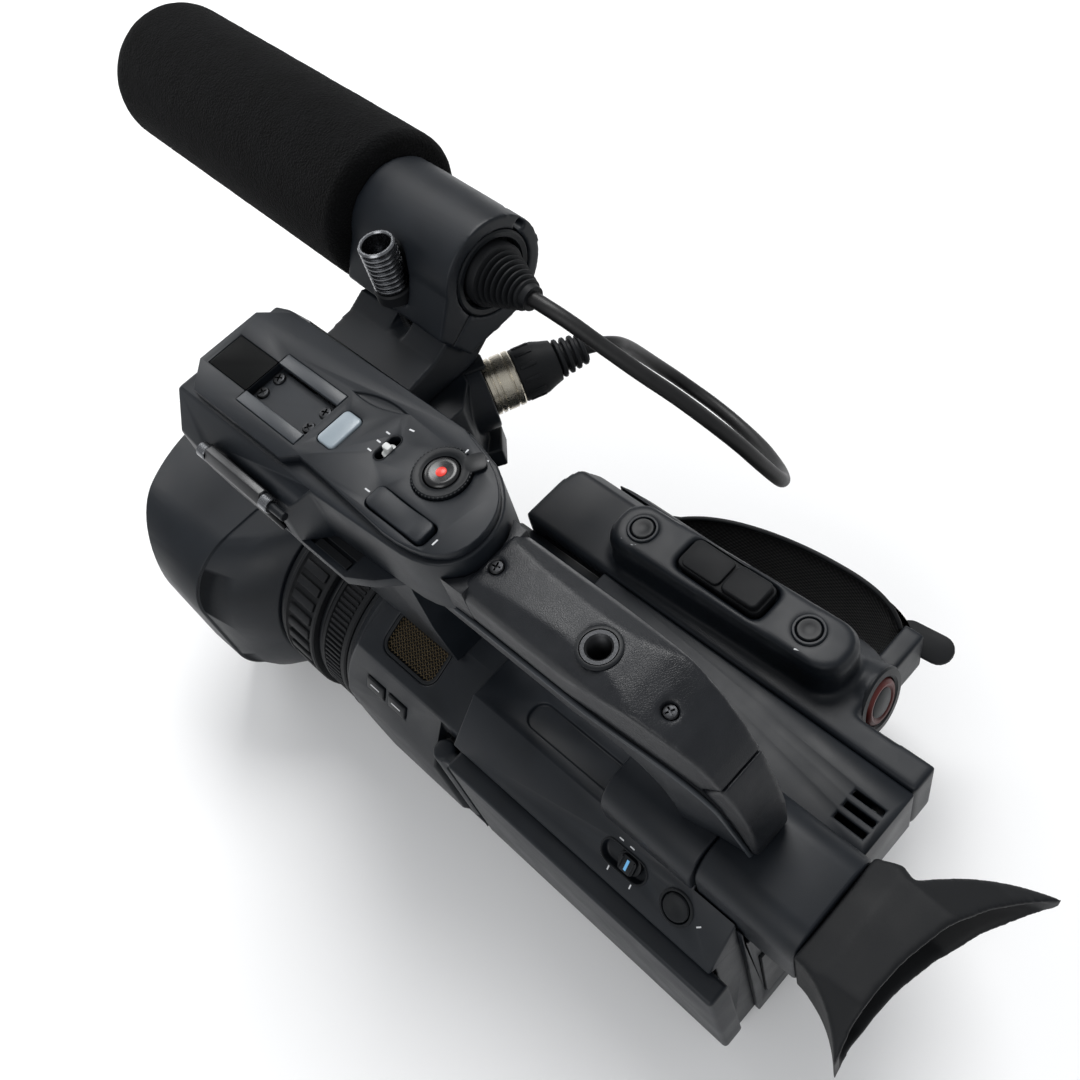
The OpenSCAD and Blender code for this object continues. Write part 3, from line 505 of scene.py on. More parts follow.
def softEdges(nodeName, width, segments=2, slot=None):
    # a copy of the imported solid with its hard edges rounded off
    holder, volume = copiedNode(nodeName)
    for size in (width, width * 0.6, width * 0.3, 0):
        holder.modifiers.clear()
        if size:
            bevel = holder.modifiers.new("edge", "BEVEL")
            bevel.width, bevel.segments = size * mm, segments
            bevel.limit_method, bevel.angle_limit = "ANGLE", math.radians(30)
            bevel.use_clamp_overlap = False
        mesh = evaluatedMesh(holder)
        low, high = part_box(nodeName)
        reach = [v.co for v in mesh.vertices]
        inside = all(low[k] - 2e-4 < c[k] < high[k] + 2e-4 for c in reach for k in range(3))
        if inside and abs(volumeOf(mesh) / volume - 1) < 0.05:
            break
        bpy.data.meshes.remove(mesh)
    if size < width:
        print("edge of", nodeName, "is", size)
    bpy.data.objects.remove(holder)
    mesh.name = nodeName + "_shell"
    slot = slot or nodeSlot[nodeName]
    mesh.materials.append(finishes[slot])
    return settle(bpy.data.objects.new(nodeName + "_shell", mesh), nodeBody[nodeName], [nodeName])


def moulded(nodeName, grid, rounds):
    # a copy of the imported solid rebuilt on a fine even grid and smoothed, for soft mouldings
    holder = copiedNode(nodeName)[0]
    remesh = holder.modifiers.new("grid", "REMESH")
    remesh.mode, remesh.voxel_size = "VOXEL", grid * mm
    smooth = holder.modifiers.new("smooth", "SMOOTH")
    smooth.factor, smooth.iterations = 0.5, rounds
    mesh = evaluatedMesh(holder)
    bpy.data.objects.remove(holder)
    mesh.name = nodeName + "_shell"
    mesh.materials.clear()
    mesh.materials.append(finishes[nodeSlot[nodeName]])
    return settle(bpy.data.objects.new(nodeName + "_shell", mesh), nodeBody[nodeName],
                  [nodeName], 60)


# Geometry Nodes trees for everything that repeats
def startTree(name, wanted):
    tree = bpy.data.node_groups.new(name, "GeometryNodeTree")
    tree.interface.new_socket("Geometry", in_out="INPUT", socket_type="NodeSocketGeometry")
    for label, kind in wanted.items():
        tree.interface.new_socket(label, in_out="INPUT", socket_type="NodeSocket" + kind)
    tree.interface.new_socket("Geometry", in_out="OUTPUT", socket_type="NodeSocketGeometry")
    return tree, tree.nodes.new("NodeGroupInput")


def endTree(tree, source, points, turned=None, scale=None):
    unit = addNode(tree, "GeometryNodeObjectInfo")
    spread = addNode(tree, "GeometryNodeInstanceOnPoints")
    realised = addNode(tree, "GeometryNodeRealizeInstances")
    coated = addNode(tree, "GeometryNodeSetMaterial")
    out = tree.nodes.new("NodeGroupOutput")
    link(source.outputs["Unit"], unit.inputs["Object"])
    link(points, spread.inputs["Points"])
    link(unit.outputs["Geometry"], spread.inputs["Instance"])
    if turned:
        link(turned, spread.inputs["Rotation"])
    if scale:
        link(scale, spread.inputs["Scale"])
    link(spread.outputs[0], realised.inputs[0])
    link(realised.outputs[0], coated.inputs["Geometry"])
    link(source.outputs["Finish"], coated.inputs["Material"])
    link(coated.outputs[0], out.inputs[0])
    return tree


def maths(tree, operation, a, b=None):
    node = addNode(tree, "ShaderNodeMath", operation=operation)
    for slotIndex, value in enumerate((a, b)):
        if value is None:
            continue
        if isinstance(value, (int, float)):
            node.inputs[slotIndex].default_value = value
        else:
            link(value, node.inputs[slotIndex])
    return node.outputs[0]


def ringTree():  # units round a circle, each turned outwards
    tree, source = startTree("ringOfUnits", {"Count": "Int", "Radius": "Float", "Unit": "Object",
                                             "Finish": "Material"})
    circle = addNode(tree, "GeometryNodeMeshCircle")
    link(source.outputs["Count"], circle.inputs["Vertices"])
    link(source.outputs["Radius"], circle.inputs["Radius"])
    outwards = addNode(tree, "FunctionNodeAlignRotationToVector", axis="X", pivot_axis="Z")
    position = addNode(tree, "GeometryNodeInputPosition")
    link(position.outputs[0], outwards.inputs["Vector"])
    return endTree(tree, source, circle.outputs["Mesh"], outwards.outputs[0])


def stackTree():  # units along Z, growing or shrinking evenly
    tree, source = startTree("stackOfUnits", {"Count": "Int", "Pitch": "Float", "FirstSize": "Float",
                                              "LastSize": "Float", "Unit": "Object", "Finish": "Material"})
    step = addNode(tree, "ShaderNodeCombineXYZ")
    link(source.outputs["Pitch"], step.inputs["Z"])
    line = addNode(tree, "GeometryNodeMeshLine", mode="OFFSET")
    link(source.outputs["Count"], line.inputs["Count"])
    link(step.outputs[0], line.inputs["Offset"])
    index = addNode(tree, "GeometryNodeInputIndex")
    share = maths(tree, "DIVIDE", index.outputs[0], maths(tree, "SUBTRACT", source.outputs["Count"], 1))
    change = maths(tree, "SUBTRACT", source.outputs["LastSize"], source.outputs["FirstSize"])
    size = maths(tree, "ADD", maths(tree, "MULTIPLY", share, change), source.outputs["FirstSize"])
    scale = addNode(tree, "ShaderNodeCombineXYZ", {"Z": 1.0})
    link(size, scale.inputs["X"])
    link(size, scale.inputs["Y"])
    return endTree(tree, source, line.outputs["Mesh"], None, scale.outputs[0])


def spotTree():  # units on loose points, each turned by its own angle
    tree, source = startTree("unitsOnSpots", {"Unit": "Object", "Finish": "Material"})
    own = addNode(tree, "GeometryNodeInputNamedAttribute", {"Name": "spin"}, data_type="FLOAT")
    spin = addNode(tree, "ShaderNodeCombineXYZ")
    link(own.outputs["Attribute"], spin.inputs["Z"])
    return endTree(tree, source, source.outputs["Geometry"], spin.outputs[0])


def seamTree():  # stitches along a line at an even distance
    tree, source = startTree("stitchedSeam", {"Spacing": "Float", "Unit": "Object", "Finish": "Material"})
    line = addNode(tree, "GeometryNodeMeshToCurve")
    even = addNode(tree, "GeometryNodeResampleCurve", mode="LENGTH")
    link(source.outputs["Geometry"], line.inputs[0])
    link(line.outputs[0], even.inputs["Curve"])
    link(source.outputs["Spacing"], even.inputs["Length"])
    tangent = addNode(tree, "GeometryNodeInputTangent")
    along = addNode(tree, "FunctionNodeAlignRotationToVector", axis="X", pivot_axis="AUTO")
    link(tangent.outputs[0], along.inputs["Vector"])
    return endTree(tree, source, even.outputs[0], along.outputs[0])


trees = {"ring": ringTree(), "stack": stackTree(), "spots": spotTree(), "seam": seamTree()}


def grown(name, treeName, unitShape, sizes, slot, body="camera_body", at=None, finish=None, spots=None,
          edges=(),
          replaces=(), smooth=34):
    # runs a tree on a holder object and keeps the outcome as a plain mesh
    unitMesh = bpy.data.meshes.new(name + "_unit")
    unitShape.to_mesh(unitMesh)
    unitShape.free()
    unit = bpy.data.objects.new(name + "_unit", unitMesh)
    points = bpy.data.meshes.new(name + "_points")
    points.from_pydata([s[:3] for s in spots or [(0, 0, 0)]], list(edges), [])
    spins = points.attributes.new("spin", "FLOAT", "POINT")
    for k, s in enumerate(spots or []):
        spins.data[k].value = s[3] if len(s) > 3 else 0
    holder = bpy.data.objects.new(name + "_points", points)
    for each in (unit, holder):
        scene.collection.objects.link(each)
    shaper = holder.modifiers.new("shaper", "NODES")
    shaper.node_group = trees[treeName]
    values = {**sizes, "Unit": unit, "Finish": finish or finishes[slot]}
    for item in trees[treeName].interface.items_tree:
        if item.in_out == "INPUT" and item.name in values:
            shaper[item.identifier] = values[item.name]
    mesh = evaluatedMesh(holder)
    mesh.name = name
    bpy.data.objects.remove(holder)
    bpy.data.objects.remove(unit)
    mesh.transform(Matrix.Scale(mm, 4) @ (at or Matrix.Identity(4)))
    return settle(bpy.data.objects.new(name, mesh), body, replaces, smooth)


def marks(name, spots, size, at=None, body="camera_body", finish=None):
    unit = softBox((-size[0] / 2, -size[1] / 2, -0.1), (size[0] / 2, size[1] / 2, 0.05), 0.04, 1)
    return grown(name, "spots", unit, {}, "switch_white", body, at, finish or whitePaint, spots)


print("stage: tools ready")


# the microphone cable: one lead from the boot on the microphone to the plug below it
micCable = {
    "radius": 2.3,
    "sides": 20,
    "route": [
        (-63.3, -5, 186.1), (-63.4, 1, 185.6), (-64.4, 8, 183), (-66.6, 17, 177), (-69.6, 26.6, 169.6),
        (-73.4, 35.6, 161.4), (-77.2, 43.4, 152.2), (-81.2, 49.6, 142.2), (-85.2, 54, 131.6),
              (-90, 55.6, 120.8),
        (-96, 52.4, 110.8), (-103, 44.4, 103), (-109.6, 32.6, 97.4), (-113.6, 19.6, 95.2),
              (-114.8, 8.2, 96.6),
        (-113.8, -1, 100.4), (-111, -6.8, 106.6), (-107, -10, 114.2), (-102.8, -11.2, 122),
              (-98.8, -10.9, 129),
        (-94.8, -10, 135.2), (-90.6, -9.1, 140.4), (-86, -9.9, 143.8), (-81.4, -12.1, 145),
    ],
}
cableLine = smoothLine(micCable["route"], 6)
cable = addPiece("cable_run", tubeShape(cableLine, circleOutline(micCable["radius"], micCable["sides"])),
                 "cable_black", replaces=["mic_cable"], smooth=50)
# plug at the cable's far end
ringProfile = [(0, -14), (7.6, -14), (7.6, 0.2), (8.6, 0.2), (8.9, 0.5)]
for s in (1.6, 3.4, 7.4):
    ringProfile += [(8.9, s), (8.3, s + 0.15), (8.3, s + 0.6), (8.9, s + 0.75)]
ringProfile += [(8.9, 9.6), (8.5, 10), (0, 10)]
plugRing = addPiece("plug_ring", latheShape(ringProfile, 56), "nickel", at=plugPlace,
                    replaces=["xlr_plug_shell"])
sleeve = latheShape([(0, 10.05), (8.1, 10.05), (8.5, 10.5), (8.5, 17.6), (7.4, 20.6), (6.6, 23.2),
                     (5.4, 23.6),
                     (4.6, 24), (4.2, 33.2), (0, 33.2)], 56)
plugSleeve = addPiece("plug_sleeve", sleeve, "rubber_black", at=plugPlace, replaces=["xlr_plug_sleeve"])
rib = latheShape([(0.5, -0.75), (0.93, -0.75), (1, -0.4), (1, 0.4), (0.93, 0.75), (0.5, 0.75)], 40, True)
plugRibs = grown("plug_sleeve_ribs", "stack", rib,
                 {"Count": 4, "Pitch": 2.45, "FirstSize": 6.2, "LastSize": 5.1},
                 "rubber_black", at=plugPlace @ place(0, 0, 24.7))
flute = softBox((-0.3, -0.7, 11.4), (0.42, 0.7, 16.8), 0.25, 2)
plugFlutes = grown("plug_sleeve_flutes", "ring", flute, {"Count": 12, "Radius": 8.4}, "rubber_black",
                   at=plugPlace)


# one cross-head screw, used wherever the object has one
screwHead = {"radius": 2.0, "height": 1.3, "slot": 0.55, "reach": 1.25, "depth": 0.8}


def screwShape():
    r, h = screwHead["radius"], screwHead["height"]
    body = latheShape([(0, -h), (r, -h), (r, -0.45), (r * 0.86, -0.1), (r * 0.6, 0), (0, 0)], 24)
    mesh = bpy.data.meshes.new("screw")
    body.to_mesh(mesh)
    holder = bpy.data.objects.new("screw", mesh)
    scene.collection.objects.link(holder)
    cutters = []
    for turnedBy in (0, 90):
        a, b = screwHead["reach"], screwHead["slot"] / 2
        cutter = moved(boxShape((-a, -b, -screwHead["depth"]), (a, b, 1)), place(turned=(0, 0, turnedBy)))
        cutMesh = bpy.data.meshes.new("cutter")
        cutter.to_mesh(cutMesh)
        cutters.append(bpy.data.objects.new("cutter", cutMesh))
        scene.collection.objects.link(cutters[-1])
        cut = holder.modifiers.new("cut", "BOOLEAN")
        cut.object, cut.operation, cut.solver = cutters[-1], "DIFFERENCE", "EXACT"
    made = bmesh.new()
    made.from_mesh(evaluatedMesh(holder))
    for each in [holder, *cutters]:
        bpy.data.objects.remove(each)
    return made


# lens: rings, glass and the hood
lensSizes = {"focusRibs": 40, "zoomRibs": 108, "focusRadius": 38.3, "zoomRadius": 36.7, "inner": 33.06}
softEdges("lens_barrel", 0.5)
softEdges("lens_hood", 0.5, 2)
r0 = lensSizes["inner"]
r1 = lensSizes["focusRadius"]
focusBase = latheShape([(r0, -72.3), (r1 + 0.7, -72.3), (r1 + 1.2, -71.8), (r1 + 1.2, -70.6),
                        (r1 + 0.3, -70.2),
                        (r1, -69.8), (r1, -57.2), (r1 + 0.3, -56.8), (r1 + 1.1, -56.4), (r1 + 1.1, -55.2),
                        (r1 + 0.6, -54.7), (r0, -54.7)], 120, True)
addPiece("focus_ring_base", focusBase, "rubber_black", "focus_ring", lensPlace, ["focus_ring"])
rib = softBox((-0.7, -1.75, -69.5), (1.15, 1.75, -57.6), 0.55, 2)
grown("focus_ring_ribs", "ring", rib, {"Count": lensSizes["focusRibs"], "Radius": r1}, "rubber_black",
      "focus_ring", lensPlace)
r2 = lensSizes["zoomRadius"]
zoomBase = latheShape([(r0, -52.1), (r2 + 0.2, -52.1), (r2 + 0.8, -51.6), (r2 + 0.8, -50.2), (r2, -49.9),
                       (r2, -41.2), (r2 + 0.8, -40.9), (r2 + 0.8, -39), (r2 + 0.3, -38.5), (r0, -38.5)],
                      120, True)
addPiece("zoom_ring_base", zoomBase, "rubber_black", "zoom_ring", lensPlace, ["zoom_ring"])
rib = softBox((-0.5, -0.52, -49.7), (0.8, 0.52, -41.4), 0.22, 1)
grown("zoom_ring_ribs", "ring", rib, {"Count": lensSizes["zoomRibs"], "Radius": r2}, "rubber_black",
      "zoom_ring", lensPlace)
frontGlass = latheShape([(0, -71.9), (6, -71.6), (12, -70.7), (18, -69.2), (24, -67.1), (28.6, -64.9),
                         (28.6, -63.6),
                         (20, -64.6), (10, -65.6), (0, -66)], 72)
addPiece("front_glass", frontGlass, "lens_glass", at=lensPlace, replaces=["front_lens"])
baffle = latheShape([(28.9, -74.6), (28.9, -62), (26, -62), (25.4, -62.6), (28.2, -64.4), (27.2, -65.6),
                     (28.4, -67),
                     (27.6, -68.4), (28.5, -69.8), (27.8, -71.2), (28.6, -72.6), (28.6, -74.6)], 96, True)
addPiece("lens_baffle", baffle, "body_dark", at=lensPlace)
innerGlass = latheShape([(0, -52.6), (8, -52), (16, -50.2), (22, -48), (22, -46), (0, -46)], 64)
addPiece("inner_glass", innerGlass, "lens_glass", at=lensPlace)
print("stage: lens")


# body shells
shellEdges = {"base_plate": 0.8, "left_case": 0.6, "right_case": 0.6, "rear_panel": 0.6, "front_housing": 0.7,
              "battery": 1.2, "lcd_panel": 1.3, "vf_housing": 1.2, "vf_tube": 0.9, "head_case": 0.7,
              "head_plate": 0.35, "accessory_shoe": 0.25, "xlr_housing": 0.7,
              "audio_cover": 0.35, "side_button_front": 0.5, "side_button_rear": 0.5}
for nodeName, width in shellEdges.items():
    softEdges(nodeName, width, 3 if width > 0.6 else 2)
rockerShell = softEdges("zoom_rocker", 0.35)
rockerShell.data.materials[0] = finishes["body_charcoal"]
print("stage: shells")
mouldings = {"handle_grip": (0.75, 8), "handle_end_cap": (0.75, 8), "grip_case": (1.05, 5),
             "eyecup": (0.65, 10),
             "mic_bracket": (0.55, 4), "mic_clamp": (0.55, 4)}
for nodeName, (grid, rounds) in mouldings.items():
    moulded(nodeName, grid, rounds)
print("stage: mouldings")

# CAD solids whose shape is right and that only need a finish
for nodeName in ("tripod_insert", "main_board", "sensor_block", "microphone", "lcd_screen", "eyepiece_lens"):
    data = cadNodes[nodeName].data
    data.materials.clear()
    data.materials.append(finishes[nodeSlot[nodeName]])


# woven mesh over the side microphone, in its frame
meshPanel = {"halfWidth": 7.4, "halfLength": 11.9, "pitch": 1.05, "wire": 0.17}
c = meshPanel["pitch"]
arch = tubeShape([(-c * 0.98, 0, -0.2), (-c * 0.62, 0, -0.02), (-c * 0.25, 0, 0.16), (c * 0.25, 0, 0.16),
                  (c * 0.62, 0, -0.02), (c * 0.98, 0, -0.2)], circleOutline(meshPanel["wire"], 6))
crossings = []
for i in range(-24, 25):
    for j in range(-24, 25):
        x, y = (i - j) * c * math.sqrt(0.5), (i + j) * c * math.sqrt(0.5)
        if abs(x) < meshPanel["halfWidth"] and abs(y) < meshPanel["halfLength"]:
            crossings.append((x, y, 0, math.pi / 4 + math.pi / 2 * ((i + j) % 2)))
grown("mesh_wires", "spots", arch, {}, "mesh_metal", at=meshPlace @ place(0, 0, -0.95), spots=crossings)
backing = outlineShape(roundRect(16.6, 25.6, 4.8), -1.9, -1.5)
addPiece("mesh_backing", backing, "body_dark", at=meshPlace, replaces=["side_mic_mesh"])
bezel = frameShape(roundRect(16.9, 25.9, 4.9, 8), roundRect(14.2, 23.2, 3.6, 8), -1.6, -0.1)
addPiece("mesh_frame", rounded(bezel, 0.4, 2), "body_dark", at=meshPlace)
marks("side_button_marks", [(0, -11, 0), (0, 0, 0)], (0.5, 4.6),
      place(32.4, -8, 76.75, (0, 63.3, 0)) @ place(0, 0, 0.7))
print("stage: side microphone")


# head: shoe, lamp, switches, record button
shoe = {"x": -0.8, "screwX": 3.2, "screwY": (-56.4, -34.0), "floor": 175.3, "screwStand": 0.85}
headTop = 178  # height of the control face
recPlace, speedPlace = place(-9, 12, 0), place(-5.9, -7.2, 0)
handleScrews = [(0, 39.6, 170.6, 0.3), (1.2, 98.5, 166.2, 1.1)]  # x, y, z and spin
screws = [(shoe["x"] + sx * shoe["screwX"], y, shoe["floor"] + shoe["screwStand"], 0.5 + 0.7 * k)
          for k, (sx, y) in enumerate([(-1, shoe["screwY"][0]), (1, shoe["screwY"][0]),
                                       (-1, shoe["screwY"][1]), (1, shoe["screwY"][1])])]
grown("top_screw_heads", "spots", screwShape(), {}, "metal_insert", spots=screws + handleScrews,
      replaces=["top_screws"])
leaf = tubeShape([(-8.2, -56, 174.7), (-8.2, -50, 175.2), (-8.2, -45, 175.5), (-8.2, -40, 175.2),
                  (-8.2, -34, 174.7)],
                 [(-0.9, -0.12), (0.9, -0.12), (0.9, 0.12), (-0.9, 0.12)])
addPiece("shoe_leaf", leaf, "chrome_knob")
shoeFloor = outlineShape(roundRect(12.3, 27.4, 0.6), 174.4, shoe["floor"])
addPiece("shoe_floor", rounded(shoeFloor, 0.15, 1), "body_charcoal", at=place(shoe["x"], -45, 0))
window = outlineShape(roundRect(12.8, 19.3, 0.8), 176.5, 177.85)
addPiece("remote_window_glass", rounded(window, 0.3, 2), "gloss_black", at=place(shoe["x"], -69.2, 0),
         replaces=["remote_window"], finish=windowBlack)
lamp = slab(12.2, 7.2, 1.6, 176.1, 178.5, 0.6, 3)
addPiece("tally_lamp_lens", lamp, "clear_lamp", at=place(-1.8, -23.6, 0), replaces=["tally_lamp"])
knob = joined(slab(4.4, 3.2, 1.4, 175.4, 176.8, 0.25, 2),
              slab(2, 2.8, 0.6, 176.8, 178.9, 0.35, 2))
addPiece("speed_knob", knob, "switch_white", "speed_switch", speedPlace, ["speed_switch"])
well = frameShape(roundRect(9.6, 4.2, 2.05), roundRect(8.8, 3.4, 1.65), 177.4, 178.06)
addPiece("speed_rim", rounded(well, 0.15, 1), "body_dark", at=speedPlace)
marks("speed_marks", [(x, -11, headTop, 0) for x in (-9.4, -5.9, -2.4)], (0.5, 1.6))

recCap = latheShape([(0, 175.6), (5.1, 175.6), (5.1, 178.4), (4.8, 178.95), (4.1, 179.35), (3.2, 179.3),
                     (1.6, 179.0), (0, 178.9)])
addPiece("rec_cap", recCap, "gloss_black", "handle_rec_button", recPlace, ["handle_rec_button"])
redDot = latheShape([(0, 178.8), (1.55, 178.8), (1.55, 179.1), (1.15, 179.34), (0, 179.4)], 32)
addPiece("rec_dot", redDot, "trigger_red", "handle_rec_button", recPlace, finish=redPaint)
holdBase = latheShape([(5.4, 177.5), (8.3, 177.5), (8.3, 178.7), (7.9, 179.15), (6.4, 179.2), (5.9, 178.9),
                       (5.4, 178.7)], 64, True)
addPiece("hold_collar", holdBase, "body_dark", "hold_ring", recPlace, ["hold_ring"])
lobe = moved(slab(6.4, 6, 2, 178.3, 179.2, 0.4, 2), place(9.2, 0, 0))
addPiece("hold_lobe", lobe, "body_dark", "hold_ring", recPlace @ place(turned=(0, 0, 145)))
tooth = softBox((-0.25, -0.3, headTop), (0.28, 0.3, headTop + 1), 0.12, 1)
grown("hold_teeth", "ring", tooth, {"Count": 44, "Radius": 8.25}, "body_dark", "hold_ring", recPlace)
marks("hold_marks", [(-19, 18.6, headTop, 0.6), (-18, 12, headTop, 1.57)], (0.5, 1.7))
marks("rocker_marks", [(6.9, -1, headTop, 0), (6.9, 26.4, headTop, 1.57)], (0.5, 2.0))
marks("lamp_marks", [(-14, -6, headTop, 0.2)], (0.5, 1.8))
rockerBar = softBox((4.0, 12.2, 176.8), (9.8, 13.2, 177.95), 0.3, 2)
addPiece("rocker_ridge", rockerBar, "body_dark", "zoom_rocker")
print("stage: head")


# flip cover, its rod, and the two level dials
coverPlace = place(25.2, 0, 169.5, (-90, 0, 0))
rod = latheShape([(0, -61.9), (1.1, -61.9), (1.3, -61.7), (1.3, -20.7), (1.1, -20.5), (0, -20.5)], 32)
addPiece("cover_rod", rod, "body_dark", at=coverPlace, replaces=["hinge_rod"])
bandProfile = [(1.32, -61.5), (2.1, -61.5), (2.4, -61.2), (2.4, -58.1), (2.1, -57.8), (1.32, -57.8)]
band = joined(latheShape(bandProfile, 32, True), moved(latheShape(bandProfile, 32, True), place(0, 0, 31.1)))
addPiece("cover_rod_bands", band, "chrome_knob", at=coverPlace)
levelDial = {"x": 18.4, "z": 160.5, "radius": 3.6, "teeth": 40, "spots": {"front": -51, "rear": -38}}
for label, y in levelDial["spots"].items():
    dialName = "level_dial_" + label
    dialPlace = place(levelDial["x"], y, levelDial["z"], (0, 90, 0))
    dial = latheShape([(0, 0), (levelDial["radius"], 0), (levelDial["radius"], 3.9), (3.2, 4.4), (1, 4.4),
                       (0, 4.4)], 40)
    addPiece(dialName + "_body", dial, "rubber_black", dialName, dialPlace, [dialName])
    tooth = softBox((-0.1, -0.14, 0.4), (0.26, 0.14, 4), 0.06, 1)
    grown(dialName + "_teeth", "ring", tooth, {"Count": levelDial["teeth"], "Radius": levelDial["radius"]},
          "rubber_black", dialName, dialPlace)
    pointer = boxShape((-2.8, -0.2, 4.3), (-0.6, 0.2, 4.46))
    addPiece(dialName + "_pointer", pointer, "switch_white", dialName, dialPlace, finish=whitePaint)
slotShape = joined(softBox((15.4, -20.5, 151.6), (18.4, -5.5, 152.15), 0.2, 1),
                   softBox((19.4, -21, 151.6), (22.2, -6.5, 152.15), 0.2, 1))
addPiece("wing_slots", slotShape, "rubber_black")
print("stage: flip cover and dials")


# handle: dark lower moulding, light lip along both sides, shoulders where it meets the head
softEdges("handle_lower", 0.8, 3, slot="body_charcoal")
lip = {"halfWide": 0.75, "halfHigh": 0.62, "side": [(30, 154.2), (40, 155), (58, 155), (76, 155)],
       "bend": ((76, 155), (104, 153), (114, 138)), "end": [(117, 130.5), (120, 122.5), (121.6, 118)]}


def bezier(a, b, c, n):
    return [((1 - t) ** 2 * a[0] + 2 * t * (1 - t) * b[0] + t * t * c[0],
             (1 - t) ** 2 * a[1] + 2 * t * (1 - t) * b[1] + t * t * c[1])
            for t in [i / n for i in range(n + 1)]]


def handleHalf(y, left):  # half width of the handle at a place along it
    wide, narrow = (11.4, 4.6) if left else (13.9, 8.4)
    t = min(1, max(0, (y - 72) / 52))
    return wide - (wide - narrow) * (1.7 * t * t - 0.7 * t ** 3)


lipLine = lip["side"] + bezier(*lip["bend"], 8)[1:] + lip["end"]
lipOutline = [(lip["halfWide"] * math.cos(math.radians(k * 30)),
               lip["halfHigh"] * math.sin(math.radians(k * 30)))
              for k in range(12)]
for label, sign in (("left", 1), ("right", -1)):
    path = [(sign * handleHalf(y, sign > 0), y, z) for y, z in lipLine]
    addPiece("handle_lip_" + label, tubeShape(smoothLine(path, 5), lipOutline), "lip_grey", smooth=60)
shoulders = joined(
    outlineShape([(11.1, 37.4), (11.3, 29.2), (10.9, 30.3), (7.0, 34.3), (3.2, 35.9), (3.0, 37.4)], 155.4,
                 169.2),
    outlineShape([(-13.2, 37.4), (-13.3, 32.0), (-12.5, 32.6), (-8.4, 34.9), (-4.0, 36.0), (-3.6, 37.4)],
                 155.4, 169.2))
addPiece("handle_shoulders", rounded(shoulders, 0.5, 2), "handle_skin")


# handle: threaded insert
insert = {"place": place(0.8, 76.6, 0), "top": 171.5, "bottom": 158.2, "crest": 3.18, "root": 3.55,
          "pitch": 0.8}
profile = [(5, insert["bottom"]), (5, 171.1), (4.7, insert["top"]), (3.7, insert["top"])]
z = 171.1
while z > 159.6:
    profile += [(insert["crest"], z), (insert["root"], z - insert["pitch"] / 2)]
    z -= insert["pitch"]
profile += [(insert["crest"], insert["bottom"])]
addPiece("handle_thread", latheShape(profile, 48, True), "metal_insert", at=insert["place"],
         replaces=["handle_insert"])
rim = latheShape([(5.0, 170.6), (6.1, 170.9), (6.1, 171.35), (5.7, 171.6), (5.0, 171.6)], 48, True)
addPiece("handle_thread_rim", rim, "body_dark", at=insert["place"])


# microphone: foam, boot, knob
foamSizes = {"radius": 24.3, "length": 136, "rear": -66.4, "lump": 0.35, "steps": 120, "rows": 150,
             "frontRound": 13, "rearRound": 4}
radius, rear, nose, heel = [foamSizes[key] for key in ("radius", "rear", "frontRound", "rearRound")]
front = rear - foamSizes["length"]
profile = [((radius - nose) * k / 8, front) for k in range(9)]
for k in range(1, 13):
    a = math.radians(-90 + 90 * k / 12)
    profile.append((radius - nose + nose * math.cos(a), front + nose + nose * math.sin(a)))
straight = foamSizes["length"] - nose - heel
profile += [(radius, front + nose + straight * k / foamSizes["rows"]) for k in range(1, foamSizes["rows"])]
for k in range(7):
    a = math.radians(90 * k / 6)
    profile.append((radius - heel + heel * math.cos(a), rear - heel + heel * math.sin(a)))
profile += [(16, rear), (12, rear), (10.7, rear - 0.4), (10.7, -188), (0, -188)]
foam = latheShape(profile, foamSizes["steps"])
foam.verts.ensure_lookup_table()
foam.normal_update()
for vert in foam.verts:
    outside = math.hypot(vert.co.x, vert.co.y) > 11 or vert.co.z < front + 3
    if outside:
        lump = noise.fractal(vert.co * 0.55, 0.8, 2.0, 4) * 0.5 + noise.noise(vert.co * 0.07) * 0.5
        vert.co -= vert.normal * foamSizes["lump"] * (0.55 + 0.45 * lump)
foamPiece = addPiece("foam_sleeve", foam, "foam_black", at=micPlace, replaces=["mic_foam"], smooth=80)

bootRibs = {"Count": 7, "Pitch": 1.75, "FirstSize": 8.6, "LastSize": 4.8}
bootBody = latheShape([(0, -26), (9.8, -26), (9.8, -20.4), (9.4, -19.6), (7, -19), (5.4, -17.6), (4.2, -10),
                       (3.7, -5), (0, -5)])
addPiece("boot_body", bootBody, "rubber_black", at=micPlace, replaces=["mic_boot"])
rib = latheShape([(0.45, -0.5), (0.9, -0.5), (1, -0.25), (1, 0.25), (0.9, 0.5), (0.45, 0.5)], 40, True)
grown("boot_ribs", "stack", rib, bootRibs, "rubber_black", at=micPlace @ place(0, 0, -18.2))
socketRing = latheShape([(10.7, -28), (13.2, -28), (13.2, -21.9), (12.6, -21.5), (11.2, -21.7),
                         (10.7, -22.4)], 56, True)
addPiece("holder_recess", socketRing, "body_dark", at=micPlace)

